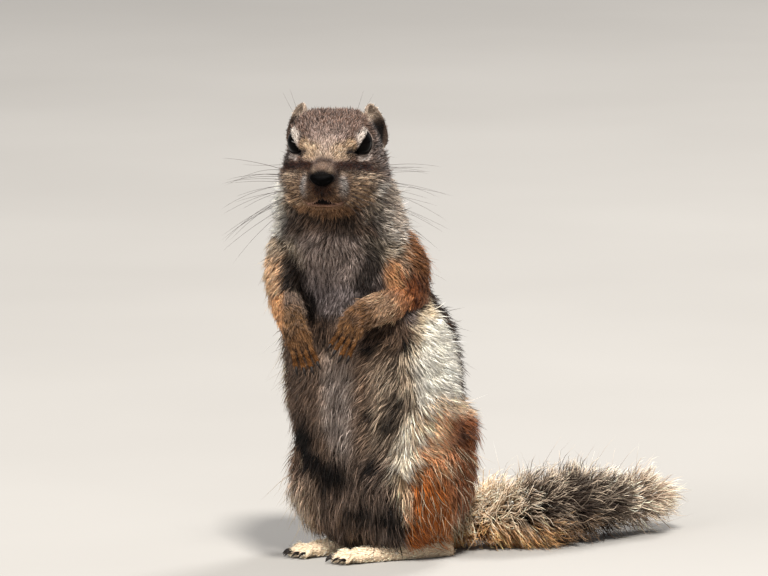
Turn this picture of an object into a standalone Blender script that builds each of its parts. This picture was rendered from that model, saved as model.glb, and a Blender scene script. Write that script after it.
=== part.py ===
"""A life-size model of a Barbary ground squirrel sitting upright on its haunches.

+Z is up and -Y is towards the viewer it looks at. Each form reaches out to the tips of the coat.
All sizes below are in millimetres and angles in degrees.
"""
import math

import bmesh
import bpy
import numpy as np
from mathutils import Matrix, Vector

MM = 0.001
GAP = 0.35  # between neighbouring pieces
SLAB = 300.0  # a block this wide reaches past the whole model
FLAT = 0.12  # what lies this close to the floor rests on it
KEEP = 0.62  # share of each piece's triangles kept once it has been parted

# Trunk, from the seat up: height, centre x, centre y, turn to the right, half width, front, back
TRUNK = (
    (4.5, 2.5, 14.0, 38, 13.0, 11.0, 9.0),
    (9.0, 1.5, 13.5, 38, 22.0, 20.0, 16.0),
    (17.0, 0.0, 13.0, 37, 28.5, 26.0, 21.0),
    (30.0, -1.0, 11.0, 35, 32.0, 30.0, 25.0),
    (46.0, -1.8, 8.0, 31, 33.0, 32.0, 26.0),
    (62.0, -3.2, 5.0, 27, 35.5, 31.0, 26.5),
    (78.0, -4.8, 2.0, 23, 35.0, 28.5, 25.5),
    (94.0, -8.0, -1.0, 18, 32.0, 25.0, 24.5),
    (108.0, -11.5, -3.0, 15, 27.5, 23.0, 23.5),
    (120.0, -14.8, -5.0, 12, 26.0, 21.0, 22.0),
    (131.0, -16.8, -7.0, 9, 25.2, 19.0, 19.5),
    (142.0, -17.5, -9.0, 7, 22.2, 17.0, 17.0),
    (152.0, -18.0, -10.0, 7, 17.0, 14.0, 14.0),
)
TRUNK_POWER = 2.15

# Head, in its own frame: forward, half width, level of that width, crown, throat
HEAD_CENTRE = (-19.8, -22.0, 158.1)
HEAD_YAW = 6.5
HEAD_PITCH = 7.0
HEAD = (
    (-26.0, 13.0, -8.0, 2.0, -19.0),
    (-20.0, 18.5, -10.0, 8.0, -24.0),
    (-12.0, 20.5, -11.0, 11.3, -24.0),
    (-4.0, 20.0, -11.0, 10.8, -23.0),
    (3.0, 17.0, -9.0, 8.6, -21.5),
    (9.0, 13.2, -9.0, 5.2, -20.2),
    (15.0, 10.2, -9.5, 1.6, -19.7),
    (20.0, 8.6, -9.8, -1.0, -19.0),
    (24.0, 6.6, -9.2, -2.8, -16.5),
    (26.3, 3.8, -8.4, -4.6, -12.5),
)
HEAD_POWER = 3.2
HEAD_TAPER = 0.2  # the cheeks are this much wider than the crown

EYE_AT = (12.8, 0.4, 0.0)  # left eye in the head's frame: left, forward, up
EYE_RADIUS = 4.4
NOSE_AT = (0.3, 25.6, -6.0)
NOSE_SIZE = (4.9, 3.2, 3.6)
EAR_AT = (16.0, -14.5, 3.2)
EAR_SIZE = (3.3, 6.2, 9.4)
EAR_SPLAY = 14.0
EAR_WALL = 1.1

# Limbs: x, y, z and coat radius at each joint
ARM_LEFT = ((1.0, -7.0, 118.0, 12.5), (6.5, -10.0, 110.0, 12.0), (8.2, -13.0, 102.0, 9.4))
FOREARM_LEFT = ((8.2, -13.0, 102.0, 9.2), (-1.0, -24.0, 98.0, 7.6), (-9.6, -32.6, 95.2, 5.6))
HAND_LEFT = ((-10.4, -33.6, 94.6), (-17.4, -38.0, 81.5))
ARM_RIGHT = ((-32.0, -3.0, 119.0, 12.0), (-34.8, -8.0, 108.0, 10.8), (-35.3, -12.5, 100.0, 8.8))
FOREARM_RIGHT = ((-35.3, -12.5, 100.0, 8.6), (-34.6, -24.5, 95.0, 7.0), (-32.8, -34.6, 90.8, 5.4))
HAND_RIGHT = ((-32.2, -36.0, 90.6), (-27.4, -40.0, 76.0))
HAND_WIDTH = 8.6
DIGITS = 4
DIGIT_LENGTH = 8.0
CLAW_LENGTH = 2.8

PELVIS_YAW = 40.0
THIGH_LEFT = (17.6, 0.0, 35.0)
THIGH_RIGHT = (-17.8, 18.0, 33.5)
THIGH_SIZE = (15.0, 22.0, 26.0)  # across, along, up
SHANK_LEFT = ((8.0, -13.0, 40.0, 9.5), (15.0, -3.0, 24.0, 7.5), (20.6, 7.0, 9.5, 5.6))
SHANK_RIGHT = ((-24.0, 6.0, 42.0, 10.5), (-12.0, 13.0, 25.0, 8.0), (1.0, 22.0, 9.5, 5.6))
FOOT_LEFT = ((23.0, 6.5), (-12.0, -8.6))
FOOT_RIGHT = ((4.0, 24.5), (-28.0, 5.0))
FOOT = ((0.0, 3.4, 6.6), (0.18, 3.9, 8.4), (0.55, 4.3, 7.0), (0.9, 5.2, 5.6), (1.0, 4.6, 4.6))
TOES = 5
TOE_LENGTH = 8.0

# Tail, laid on the floor: x, y, z and coat radius
TAIL = (
    (2.0, 26.0, 16.0, 7.0),
    (12.0, 29.0, 13.5, 8.5),
    (25.0, 28.0, 12.0, 12.0),
    (44.0, 26.0, 13.0, 17.0),
    (62.0, 32.0, 14.0, 19.5),
    (79.0, 44.0, 14.0, 19.0),
    (92.0, 54.0, 13.5, 16.5),
    (101.0, 60.0, 13.0, 12.0),
    (107.0, 64.0, 12.5, 6.0),
)
TAIL_CUTS = (0.27, 0.5, 0.74)  # shares of the way along

NECK_CUT = ((-18.0, -21.0, 136.5), (0.0, -0.36, 0.93))
CHEST_CUT = ((-14.0, -5.0, 121.0), (0.0, -0.2, 0.98))
BELLY_CUT = ((-7.0, 0.0, 84.0), (0.0, -0.1, 0.995))
RUMP_CUT = ((0.0, 10.0, 45.0), (0.1, -0.1, 0.99))

GREY_BROWN = (0.44, 0.36, 0.30)
PALE = (0.66, 0.58, 0.50)
TAN = (0.53, 0.37, 0.26)
RUSSET = (0.50, 0.31, 0.20)
CREAM = (0.72, 0.58, 0.44)
DARK = (0.34, 0.28, 0.23)
BLACK = (0.02, 0.015, 0.012)


for old in list(bpy.data.objects):
    bpy.data.objects.remove(old)

parts = bpy.data.collections.new("ground_squirrel")
cutters = bpy.data.collections.new("ground_squirrel_cutters")
bpy.context.scene.collection.children.link(parts)
bpy.context.scene.collection.children.link(cutters)


def turned(yaw):
    """Unit vectors to the animal's left and forward when it is turned right by yaw."""
    a = math.radians(yaw)
    left = np.array((math.cos(a), -math.sin(a), 0.0))
    forward = np.array((-math.sin(a), -math.cos(a), 0.0))
    return left, forward


def head_frame():
    """Left, forward and up of the head, which looks a little down."""
    left, level = turned(HEAD_YAW)
    p = math.radians(HEAD_PITCH)
    forward = level * math.cos(p) - np.array((0.0, 0.0, math.sin(p)))
    return np.array((left, forward, np.cross(forward, left)))


HEAD_AXES = head_frame()


def in_head(left, forward, up):
    """A place given in the head's frame, in the frame of the whole model."""
    return np.array(HEAD_CENTRE) + np.array((left, forward, up)) @ HEAD_AXES


def smooth(rows, count):
    """Rows read off a Catmull-Rom curve through the given rows, at even shares of its length."""
    rows = np.array(rows, float)
    wide = np.vstack((2 * rows[0] - rows[1], rows, 2 * rows[-1] - rows[-2]))
    at = np.linspace(0, len(rows) - 1, count)
    i = np.minimum(at.astype(int), len(rows) - 2)
    t = (at - i)[:, None]
    a, b, c, d = wide[i], wide[i + 1], wide[i + 2], wide[i + 3]
    return 0.5 * (2 * b + (c - a) * t + (2 * a - 5 * b + 4 * c - d) * t**2
                  + (3 * b - a - 3 * c + d) * t**3)


def oval(power, count):
    """Cosine and sine sides of a rounded-square oval of half size one."""
    t = np.linspace(0, 2 * math.pi, count, endpoint=False)
    c, s = np.cos(t), np.sin(t)
    return np.sign(c) * np.abs(c) ** (2 / power), np.sign(s) * np.abs(s) ** (2 / power)


def mesh_of(name, rings):
    """A closed mesh through rings of points, with a point in the middle of each end."""
    n, m = rings.shape[:2]
    points = np.vstack((rings.reshape(-1, 3), rings[0].mean(0), rings[-1].mean(0)))
    k = np.arange(n - 1)[:, None] * m
    j = np.arange(m)[None, :]
    q = (j + 1) % m
    sides = np.stack((k + j, k + q, k + m + q, k + m + j), -1).reshape(-1, 4).tolist()
    first = [(n * m, b, a) for a, b in zip(range(m), np.roll(range(m), -1).tolist())]
    last = [(n * m + 1, (n - 1) * m + a, (n - 1) * m + b)
            for a, b in zip(range(m), np.roll(range(m), -1).tolist())]
    mesh = bpy.data.meshes.new(name)
    mesh.from_pydata((points * MM).tolist(), [], sides + first + last)
    shape = bmesh.new()
    shape.from_mesh(mesh)
    bmesh.ops.recalc_face_normals(shape, faces=shape.faces)
    shape.to_mesh(mesh)
    shape.free()
    return mesh


def tube(name, joints, grow=0.0, count=14, sides=18):
    """A round-ended limb through joints given as x, y, z and radius."""
    rows = smooth(joints, count)
    rows[:, 3] += grow
    path = rows[:, :3]
    along = np.gradient(path, axis=0)
    along /= np.linalg.norm(along, axis=1)[:, None]
    bends = np.linspace(72, 0, 4)
    start = [(path[0] - along[0] * rows[0, 3] * math.sin(math.radians(b)), along[0],
              rows[0, 3] * math.cos(math.radians(b))) for b in bends[:-1]]
    end = [(path[-1] + along[-1] * rows[-1, 3] * math.sin(math.radians(b)), along[-1],
            rows[-1, 3] * math.cos(math.radians(b))) for b in bends[-2::-1]]
    middle = [(p, a, r) for p, a, r in zip(path, along, rows[:, 3])]
    c, s = oval(2.0, sides)
    rings = []
    side = np.cross(along[0], (0.0, 0.0, 1.0))
    if np.linalg.norm(side) < 0.2:
        side = np.array((1.0, 0.0, 0.0))
    for place, way, radius in start + middle + end:
        side = side - way * side.dot(way)
        side /= np.linalg.norm(side)
        up = np.cross(side, way)
        rings.append(place + radius * (c[:, None] * side + s[:, None] * up))
    return mesh_of(name, np.array(rings))


def ball(name, centre, axes, sizes, grow=0.0, rows=12, sides=20):
    """A sphere drawn out to the given half sizes along three axes."""
    shape = bmesh.new()
    bmesh.ops.create_uvsphere(shape, u_segments=sides, v_segments=rows, radius=1.0)
    place = Matrix.Translation([v * MM for v in centre])
    turn = Matrix([np.array(axis) * (size + grow) * MM for axis, size in zip(axes, sizes)])
    bmesh.ops.transform(shape, matrix=place @ turn.transposed().to_4x4(), verts=shape.verts)
    bmesh.ops.recalc_face_normals(shape, faces=shape.faces)
    mesh = bpy.data.meshes.new(name)
    shape.to_mesh(mesh)
    shape.free()
    return mesh


def trunk():
    c, s = oval(TRUNK_POWER, 44)
    rings = []
    for height, x, y, yaw, wide, front, back in smooth(TRUNK, 40):
        left, forward = turned(yaw)
        deep = np.where(s > 0, front, back)
        rings.append(np.array((x, y, height)) + (c * wide)[:, None] * left
                     + (s * deep)[:, None] * forward)
    return mesh_of("trunk", np.array(rings))


def skull():
    c, s = oval(HEAD_POWER, 44)
    rings = []
    for at, wide, level, top, low in smooth(HEAD, 30):
        across = c * wide * np.where(s > 0, 1 - HEAD_TAPER * s, 1.0)
        high = level + s * np.where(s > 0, top - level, level - low)
        rings.append([in_head(a, at, h) for a, h in zip(across, high)])
    return mesh_of("skull", np.array(rings))


def placed(mesh, group):
    made = bpy.data.objects.new(mesh.name, mesh)
    group.objects.link(made)
    return made


def cutter(mesh):
    made = placed(mesh, cutters)
    made.hide_render = True
    made.display_type = "WIRE"
    return made


def joined(name, meshes):
    """Several closed meshes in one object."""
    shape = bmesh.new()
    for mesh in meshes:
        shape.from_mesh(mesh)
    whole = bpy.data.meshes.new(name)
    shape.to_mesh(whole)
    shape.free()
    return placed(whole, parts)


def baked(thing):
    """Takes the result of the modifiers as the mesh."""
    graph = bpy.context.evaluated_depsgraph_get()
    mesh = bpy.data.meshes.new_from_object(thing.evaluated_get(graph))
    thing.modifiers.clear()
    thing.data = mesh
    return thing


def blended(thing, voxel, passes, faces):
    """One smooth skin over joined forms, brought down to about the given number of triangles."""
    remesh = thing.modifiers.new("blend", "REMESH")
    remesh.mode = "VOXEL"
    remesh.voxel_size = voxel * MM
    relax = thing.modifiers.new("relax", "SMOOTH")
    relax.factor = 0.5
    relax.iterations = passes
    baked(thing)
    thin = thing.modifiers.new("thin", "DECIMATE")
    thin.ratio = faces / (2 * len(thing.data.polygons))
    thin.use_collapse_triangulate = True
    return baked(thing)


def cut(thing, form, how):
    """Adds or takes away a form, or keeps what the two share, and bakes the result."""
    step = thing.modifiers.new("cut", "BOOLEAN")
    step.operation = how
    step.solver = "EXACT"
    step.object = form
    return baked(thing)


def biggest(thing):
    """Leaves only the largest connected body of a mesh, without stray slivers."""
    shape = bmesh.new()
    shape.from_mesh(thing.data)
    bmesh.ops.remove_doubles(shape, verts=shape.verts, dist=2e-6)
    unseen = set(shape.verts)
    bodies = []
    while unseen:
        body, front = set(), [unseen.pop()]
        while front:
            vert = front.pop()
            body.add(vert)
            for edge in vert.link_edges:
                other = edge.other_vert(vert)
                if other in unseen:
                    unseen.discard(other)
                    front.append(other)
        bodies.append(body)
    bodies.sort(key=len)
    for body in bodies[:-1]:
        bmesh.ops.delete(shape, geom=list(body), context="VERTS")
    bmesh.ops.triangulate(shape, faces=shape.faces)
    shape.to_mesh(thing.data)
    shape.free()
    return thing


def thinned(thing, share):
    """Fewer triangles where a form is nearly flat, such as across the faces of a cut."""
    thin = thing.modifiers.new("thin", "DECIMATE")
    thin.ratio = share
    thin.use_collapse_triangulate = True
    return biggest(baked(thing))


def slab(name, point, normal):
    """A block that fills the space on the far side of a plane."""
    turn = Vector(normal).to_track_quat("Z", "Y").to_matrix().to_4x4()
    shape = bmesh.new()
    bmesh.ops.create_cube(shape, size=SLAB * MM)
    bmesh.ops.translate(shape, vec=(0.0, 0.0, SLAB * MM / 2), verts=shape.verts)
    place = Matrix.Translation([v * MM for v in point])
    bmesh.ops.transform(shape, matrix=place @ turn, verts=shape.verts)
    mesh = bpy.data.meshes.new(name)
    shape.to_mesh(mesh)
    shape.free()
    return cutter(mesh)


def copied(thing, name):
    made = bpy.data.objects.new(name, thing.data.copy())
    parts.objects.link(made)
    return made


def levelled(thing, floor=0.0):
    """Flattens whatever hangs below the floor."""
    points = np.empty(len(thing.data.vertices) * 3, np.float32)
    thing.data.vertices.foreach_get("co", points)
    points = points.reshape(-1, 3)
    points[:, 2] = np.where(points[:, 2] < floor + FLAT * MM, floor, points[:, 2])
    thing.data.vertices.foreach_set("co", points.ravel())
    thing.data.update()
    return thing


def paint(thing, colour, rough):
    material = bpy.data.materials.new(thing.name)
    material.use_nodes = True
    shader = material.node_tree.nodes["Principled BSDF"]
    linear = [v / 12.92 if v < 0.04 else ((v + 0.055) / 1.055) ** 2.4 for v in colour]
    shader.inputs["Base Color"].default_value = (*linear, 1.0)
    shader.inputs["Roughness"].default_value = rough
    shader.inputs["Metallic"].default_value = 0.0
    material.diffuse_color = (*linear, 1.0)
    thing.data.materials.clear()
    thing.data.materials.append(material)


def hand(name, wrist, tips, bow):
    """Palm, digits and claws of a fore paw that hangs from the wrist towards its tips."""
    wrist, tips = np.array(wrist), np.array(tips)
    down = tips - wrist
    length = np.linalg.norm(down)
    down /= length
    out = np.array((0.0, -1.0, 0.0)) + down * down[1]
    out /= np.linalg.norm(out)
    across = np.cross(out, down)
    palm = ball(name + "_palm", wrist + down * 4.2, (across, down, out), (HAND_WIDTH / 2, 5.0, 2.9))
    meshes = [palm]
    for i in range(DIGITS):
        spread = i - (DIGITS - 1) / 2
        root = wrist + down * 5.5 + across * spread * HAND_WIDTH * 0.23
        way = down + across * spread * 0.1
        knuckle = root + way * DIGIT_LENGTH * 0.55 + out * bow
        tip = root + way * DIGIT_LENGTH
        claw = tip + way * CLAW_LENGTH - out * 0.9
        meshes.append(tube(f"{name}_digit{i}", ((*root, 1.3), (*knuckle, 1.25), (*tip, 1.0)),
                           count=6, sides=10))
        meshes.append(tube(f"{name}_claw{i}", ((*tip, 0.75), (*(tip + claw) / 2, 0.6), (*claw, 0.35)),
                           count=5, sides=8))
    return meshes


def foot_form(name, heel, ball_of_foot, grow=0.0):
    """The long hind foot from heel to the roots of the toes, standing on its sole."""
    heel, ball_of_foot = np.array((*heel, 0.0)), np.array((*ball_of_foot, 0.0))
    way = ball_of_foot - heel
    length = np.linalg.norm(way)
    way /= length
    side = np.cross(way, (0.0, 0.0, 1.0))
    c, s = oval(2.3, 20)
    rings = []
    stations = smooth(FOOT, 14)
    ends = ((-0.09, 0.25), (-0.08, 0.7), (-0.05, 0.92)), ((1.04, 0.85), (1.07, 0.5))
    for share, scale in ends[0]:
        rings.append((share, stations[0][1] * scale, stations[0][2] * scale))
    rings += [tuple(row) for row in stations]
    for share, scale in ends[1]:
        rings.append((share, stations[-1][1] * scale, stations[-1][2] * scale))
    placed_rings = []
    for share, wide, high in rings:
        middle = heel + way * length * share + np.array((0.0, 0.0, high * 0.42))
        placed_rings.append(middle + (c * (wide + grow))[:, None] * side
                            + (s * (high * 0.58 + grow))[:, None] * np.array((0.0, 0.0, 1.0)))
    return mesh_of(name, np.array(placed_rings))


def foot(name, heel, ball_of_foot):
    meshes = [foot_form(name + "_body", heel, ball_of_foot)]
    heel, root = np.array((*heel, 0.0)), np.array((*ball_of_foot, 0.0))
    way = (root - heel) / np.linalg.norm(root - heel)
    side = np.cross(way, (0.0, 0.0, 1.0))
    for i in range(TOES):
        spread = i - (TOES - 1) / 2
        turn = way + side * spread * 0.09
        length = TOE_LENGTH * (1.0 - 0.16 * abs(spread))
        start = root + side * spread * 1.95 - way * 1.5 + np.array((0.0, 0.0, 2.3))
        middle = start + turn * length * 0.55 + np.array((0.0, 0.0, 0.9))
        tip = start + turn * length + np.array((0.0, 0.0, -0.6))
        claw = tip + turn * 3.2 + np.array((0.0, 0.0, -0.9))
        meshes.append(tube(f"{name}_toe{i}", ((*start, 1.9), (*middle, 1.75), (*tip, 1.5)),
                           count=6, sides=10))
        meshes.append(tube(f"{name}_claw{i}", ((*tip, 0.95), (*(tip + claw) / 2, 0.7), (*claw, 0.4)),
                           count=5, sides=8))
    return meshes


def tail_place(share):
    """Point and direction a share of the way along the tail."""
    path = smooth(TAIL, 101)[:, :3]
    i = min(max(int(round(share * 100)), 1), 99)
    way = path[i + 1] - path[i - 1]
    return path[i], way / np.linalg.norm(way)


left, forward = turned(PELVIS_YAW)
pelvis_axes = (left, forward, (0.0, 0.0, 1.0))
body = joined("body", [
    trunk(), skull(),
    tube("a", ARM_LEFT), tube("b", FOREARM_LEFT), tube("c", ARM_RIGHT), tube("d", FOREARM_RIGHT),
    ball("e", THIGH_LEFT, pelvis_axes, THIGH_SIZE), ball("f", THIGH_RIGHT, pelvis_axes, THIGH_SIZE),
    tube("g", SHANK_LEFT), tube("h", SHANK_RIGHT),
])
blended(body, 1.1, 8, 3000)
levelled(body, 3.0 * MM)

REACH = 1.6  # how far a limb's region stands outside its own form
regions = {
    "upper_arm_left": lambda g: tube("r", ARM_LEFT, g, 5, 10),
    "upper_arm_right": lambda g: tube("r", ARM_RIGHT, g, 5, 10),
    "forearm_left": lambda g: tube("r", FOREARM_LEFT, g, 5, 10),
    "forearm_right": lambda g: tube("r", FOREARM_RIGHT, g, 5, 10),
    "thigh_left": lambda g: ball("r", THIGH_LEFT, pelvis_axes, THIGH_SIZE, g, 7, 14),
    "thigh_right": lambda g: ball("r", THIGH_RIGHT, pelvis_axes, THIGH_SIZE, g, 7, 14),
    "shank_left": lambda g: tube("r", SHANK_LEFT, g, 5, 10),
    "shank_right": lambda g: tube("r", SHANK_RIGHT, g, 5, 10),
}

feet = {}
for name, (heel, root) in {"foot_left": FOOT_LEFT, "foot_right": FOOT_RIGHT}.items():
    feet[name] = joined(name, foot(name, heel, root))
    levelled(blended(feet[name], 0.4, 3, 520))
    cut(body, cutter(foot_form(name + "_room", heel, root, GAP + 0.2)), "DIFFERENCE")

tail = joined("tail", [tube("t", TAIL, count=40, sides=26)])
levelled(blended(tail, 1.2, 4, 700))
tail_room = cutter(tube("tail_room", TAIL, GAP + 0.8, 12, 12))
cut(body, tail_room, "DIFFERENCE")
cut(tail, bpy.data.objects["foot_right_room"], "DIFFERENCE")


arms = {"hand_left": (HAND_LEFT, FOREARM_LEFT), "hand_right": (HAND_RIGHT, FOREARM_RIGHT)}
done = [tail, *feet.values()]
for name, ((wrist, tips), forearm) in arms.items():
    paw = joined(name, hand(name, wrist, tips, 0.9))
    blended(paw, 0.28, 3, 500)
    cut(paw, cutter(tube(name + "_wrist", forearm, GAP + 0.3)), "DIFFERENCE")
    done.append(paw)

for name, region in regions.items():
    piece = copied(body, name)
    cut(piece, cutter(region(REACH)), "INTERSECT")
    cut(body, cutter(region(REACH + GAP)), "DIFFERENCE")
    done.append(piece)

planes = (("head", NECK_CUT), ("neck", CHEST_CUT), ("chest", BELLY_CUT), ("belly", RUMP_CUT))
for name, (point, normal) in planes:
    piece = copied(body, name)
    n = np.array(normal) / np.linalg.norm(normal)
    cut(piece, slab(name + "_over", np.array(point) + n * GAP / 2, n), "INTERSECT")
    cut(body, slab(name + "_under", np.array(point) - n * GAP / 2, n), "DIFFERENCE")
    done.append(piece)
body.name = "rump"
done.append(body)

head = bpy.data.objects["head"]
for side, sign in (("left", 1.0), ("right", -1.0)):
    middle = in_head(EYE_AT[0] * sign, *EYE_AT[1:])
    eye_size = (EYE_RADIUS,) * 3
    cut(head, cutter(ball("eye_room", middle, HEAD_AXES, eye_size, GAP, 7, 12)), "DIFFERENCE")
    done.append(placed(ball("eye_" + side, middle, HEAD_AXES, eye_size, 0.0, 9, 14), parts))
    a = math.radians(EAR_SPLAY)
    out = HEAD_AXES[0] * sign * math.cos(a) + HEAD_AXES[2] * math.sin(a)
    up = HEAD_AXES[2] * math.cos(a) - HEAD_AXES[0] * sign * math.sin(a)
    axes = (out, HEAD_AXES[1], up)
    middle = in_head(EAR_AT[0] * sign, *EAR_AT[1:])
    cut(head, cutter(ball("ear_room", middle, axes, EAR_SIZE, GAP, 8, 12)), "DIFFERENCE")
    ear = placed(ball("ear_" + side, middle, axes, EAR_SIZE, 0.0, 9, 16), parts)
    hollow = middle + out * (EAR_WALL * 2.4) + HEAD_AXES[1] * 0.8
    hollow_size = np.array(EAR_SIZE) - EAR_WALL
    cut(ear, cutter(ball("ear_hollow", hollow, axes, hollow_size, 0.0, 8, 12)), "DIFFERENCE")
    done.append(ear)
middle = in_head(*NOSE_AT)
cut(head, cutter(ball("nose_room", middle, HEAD_AXES, NOSE_SIZE, GAP, 8, 14)), "DIFFERENCE")
done.append(placed(ball("nose", middle, HEAD_AXES, NOSE_SIZE, 0.0, 8, 14), parts))

for i, share in enumerate(TAIL_CUTS):
    point, way = tail_place(share)
    piece = copied(tail, f"tail_{i + 1}")
    before = slab("tail_before", point - way * GAP / 2, way)
    after = slab("tail_after", point + way * GAP / 2, way)
    cut(piece, before, "DIFFERENCE")
    cut(tail, after, "INTERSECT")
    done.append(piece)
tail.name = f"tail_{len(TAIL_CUTS) + 1}"

colours = {
    "head": GREY_BROWN, "neck": PALE, "chest": GREY_BROWN, "belly": GREY_BROWN, "rump": DARK,
    "upper_arm": TAN, "forearm": TAN, "hand": TAN, "thigh": RUSSET, "shank": DARK,
    "foot": CREAM, "tail": DARK, "ear": GREY_BROWN, "eye": BLACK, "nose": BLACK,
}
low = np.full(3, np.inf)
high = np.full(3, -np.inf)
for thing in done:
    thinned(biggest(thing), KEEP)
    if thing.name.startswith(("foot", "tail")):
        levelled(thing)
    points = np.array([vert.co for vert in thing.data.vertices])
    low = np.minimum(low, points.min(0))
    high = np.maximum(high, points.max(0))
    kind = max((k for k in colours if thing.name.startswith(k)), key=len)
    paint(thing, colours[kind], {"eye": 0.08, "nose": 0.5}.get(kind, 0.9))
    for face in thing.data.polygons:
        face.use_smooth = kind in ("eye", "nose")

shift = np.array((-(low[0] + high[0]) / 2, -(low[1] + high[1]) / 2, -low[2]))
for thing in done:
    for vert in thing.data.vertices:
        vert.co = vert.co + type(vert.co)(shift)
    thing.data.update()
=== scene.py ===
"""Finish of the ground squirrel: one skin, eyes, nose, claws, whiskers and a coat of solid tufts.

Lengths are in millimetres in the frame of the solids' own making, whose origin lies between the hind
feet; `ORIGIN`, read off the eyes, brings it to the frame. Sizes are those of the solids, which reach to
the tips of the coat; the skin lies a coat's depth inside them.
"""
import math

import bmesh
import bpy
import numpy as np
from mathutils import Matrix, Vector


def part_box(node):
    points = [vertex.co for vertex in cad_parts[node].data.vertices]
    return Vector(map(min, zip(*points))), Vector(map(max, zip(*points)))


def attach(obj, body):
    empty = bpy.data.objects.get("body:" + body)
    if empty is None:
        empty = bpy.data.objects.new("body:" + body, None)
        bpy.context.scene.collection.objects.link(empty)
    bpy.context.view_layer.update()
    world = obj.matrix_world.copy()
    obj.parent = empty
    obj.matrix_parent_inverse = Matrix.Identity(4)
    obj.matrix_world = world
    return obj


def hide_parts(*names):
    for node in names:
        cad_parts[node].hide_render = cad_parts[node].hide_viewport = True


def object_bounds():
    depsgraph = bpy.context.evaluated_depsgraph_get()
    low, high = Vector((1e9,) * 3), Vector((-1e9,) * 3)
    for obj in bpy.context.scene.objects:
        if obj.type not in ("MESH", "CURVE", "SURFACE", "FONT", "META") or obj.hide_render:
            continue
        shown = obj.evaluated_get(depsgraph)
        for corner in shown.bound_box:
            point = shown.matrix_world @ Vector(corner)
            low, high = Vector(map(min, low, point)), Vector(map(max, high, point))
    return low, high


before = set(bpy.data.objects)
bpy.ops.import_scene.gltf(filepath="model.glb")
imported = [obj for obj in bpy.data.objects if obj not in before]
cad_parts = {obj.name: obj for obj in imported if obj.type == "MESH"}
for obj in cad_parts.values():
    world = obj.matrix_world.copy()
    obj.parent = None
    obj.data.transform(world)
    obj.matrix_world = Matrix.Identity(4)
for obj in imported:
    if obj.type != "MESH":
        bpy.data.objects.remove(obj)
cad_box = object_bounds()

MM = 0.001
rng = np.random.default_rng(7)

# ---------------------------------------------------------------- sizes shared with the solids
HEAD_CENTRE = np.array((-19.8, -22.0, 158.1))
HEAD_YAW = 6.5
HEAD_PITCH = 7.0
EYES_AHEAD = 0.4  # of the head's centre

# height, centre x, centre y, turn to the right, half width, front, back, coat depth
TRUNK = (
    (4.5, 2.5, 14.0, 38, 13.0, 11.0, 9.0, 3.0),
    (9.0, 1.5, 13.5, 38, 22.0, 20.0, 16.0, 3.6),
    (17.0, 0.0, 13.0, 37, 28.5, 26.0, 21.0, 4.4),
    (30.0, -1.0, 11.0, 35, 32.0, 30.0, 25.0, 5.0),
    (46.0, -1.8, 8.0, 31, 33.0, 32.0, 26.0, 5.0),
    (62.0, -3.2, 5.0, 27, 35.5, 31.0, 26.5, 5.0),
    (78.0, -4.8, 2.0, 23, 35.0, 28.5, 25.5, 4.8),
    (94.0, -8.0, -1.0, 18, 32.0, 25.0, 24.5, 4.4),
    (108.0, -11.5, -3.0, 15, 27.5, 23.0, 23.5, 4.0),
    (120.0, -14.8, -5.0, 12, 26.0, 21.0, 22.0, 4.0),
    (131.0, -16.8, -7.0, 9, 25.2, 19.0, 19.5, 4.2),
    (142.0, -17.5, -9.0, 7, 22.2, 17.0, 17.0, 4.0),
    (152.0, -18.0, -10.0, 7, 17.0, 14.0, 14.0, 3.5),
)
TRUNK_POWER = 2.15

# forward, half width, level of that width, crown, throat, coat depth at the side, above, below
HEAD = (
    (-26.5, 9.5, -8.5, -2.5, -16.0, 3.0, 2.0, 3.0),
    (-23.5, 15.5, -9.5, 4.0, -20.5, 3.0, 2.0, 3.0),
    (-19.0, 18.6, -10.5, 8.4, -23.5, 3.0, 1.8, 3.0),
    (-12.0, 20.5, -11.0, 11.3, -24.0, 2.8, 1.5, 3.0),
    (-4.0, 20.0, -11.0, 10.8, -23.0, 2.4, 1.3, 3.0),
    (3.0, 17.0, -9.0, 8.6, -22.4, 1.8, 1.1, 2.4),
    (9.0, 13.2, -9.0, 5.2, -22.0, 1.3, 1.0, 1.8),
    (15.0, 10.2, -9.5, 1.6, -21.0, 0.9, 0.8, 1.2),
    (20.0, 8.2, -9.8, -1.0, -19.5, 0.7, 0.6, 0.8),
    (24.0, 6.2, -9.2, -2.8, -16.7, 0.5, 0.5, 0.6),
    (26.3, 3.8, -8.4, -4.6, -12.5, 0.4, 0.4, 0.5),
)
HEAD_POWER = 3.2
HEAD_TAPER = 0.2
CROWN_POWER = 4.4  # the back of the crown is squarer
CROWN_TAPER = 0.13
# middle and half sizes of what fills the throat, the neck's front and the nape, in the head's frame
FILLS = (((0.0, -3.5, -20.5), (17.5, 12.5, 10.0)), ((0.0, -5.5, -32.0), (17.0, 13.5, 17.0)),
         ((0.0, -13.5, -18.0), (17.0, 13.0, 13.0)))

# middle and half sizes of what fills the side between the trunk and the thigh
HIP = ((19.0, 4.0, 47.5), (10.4, 14.5, 13.5))

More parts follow.
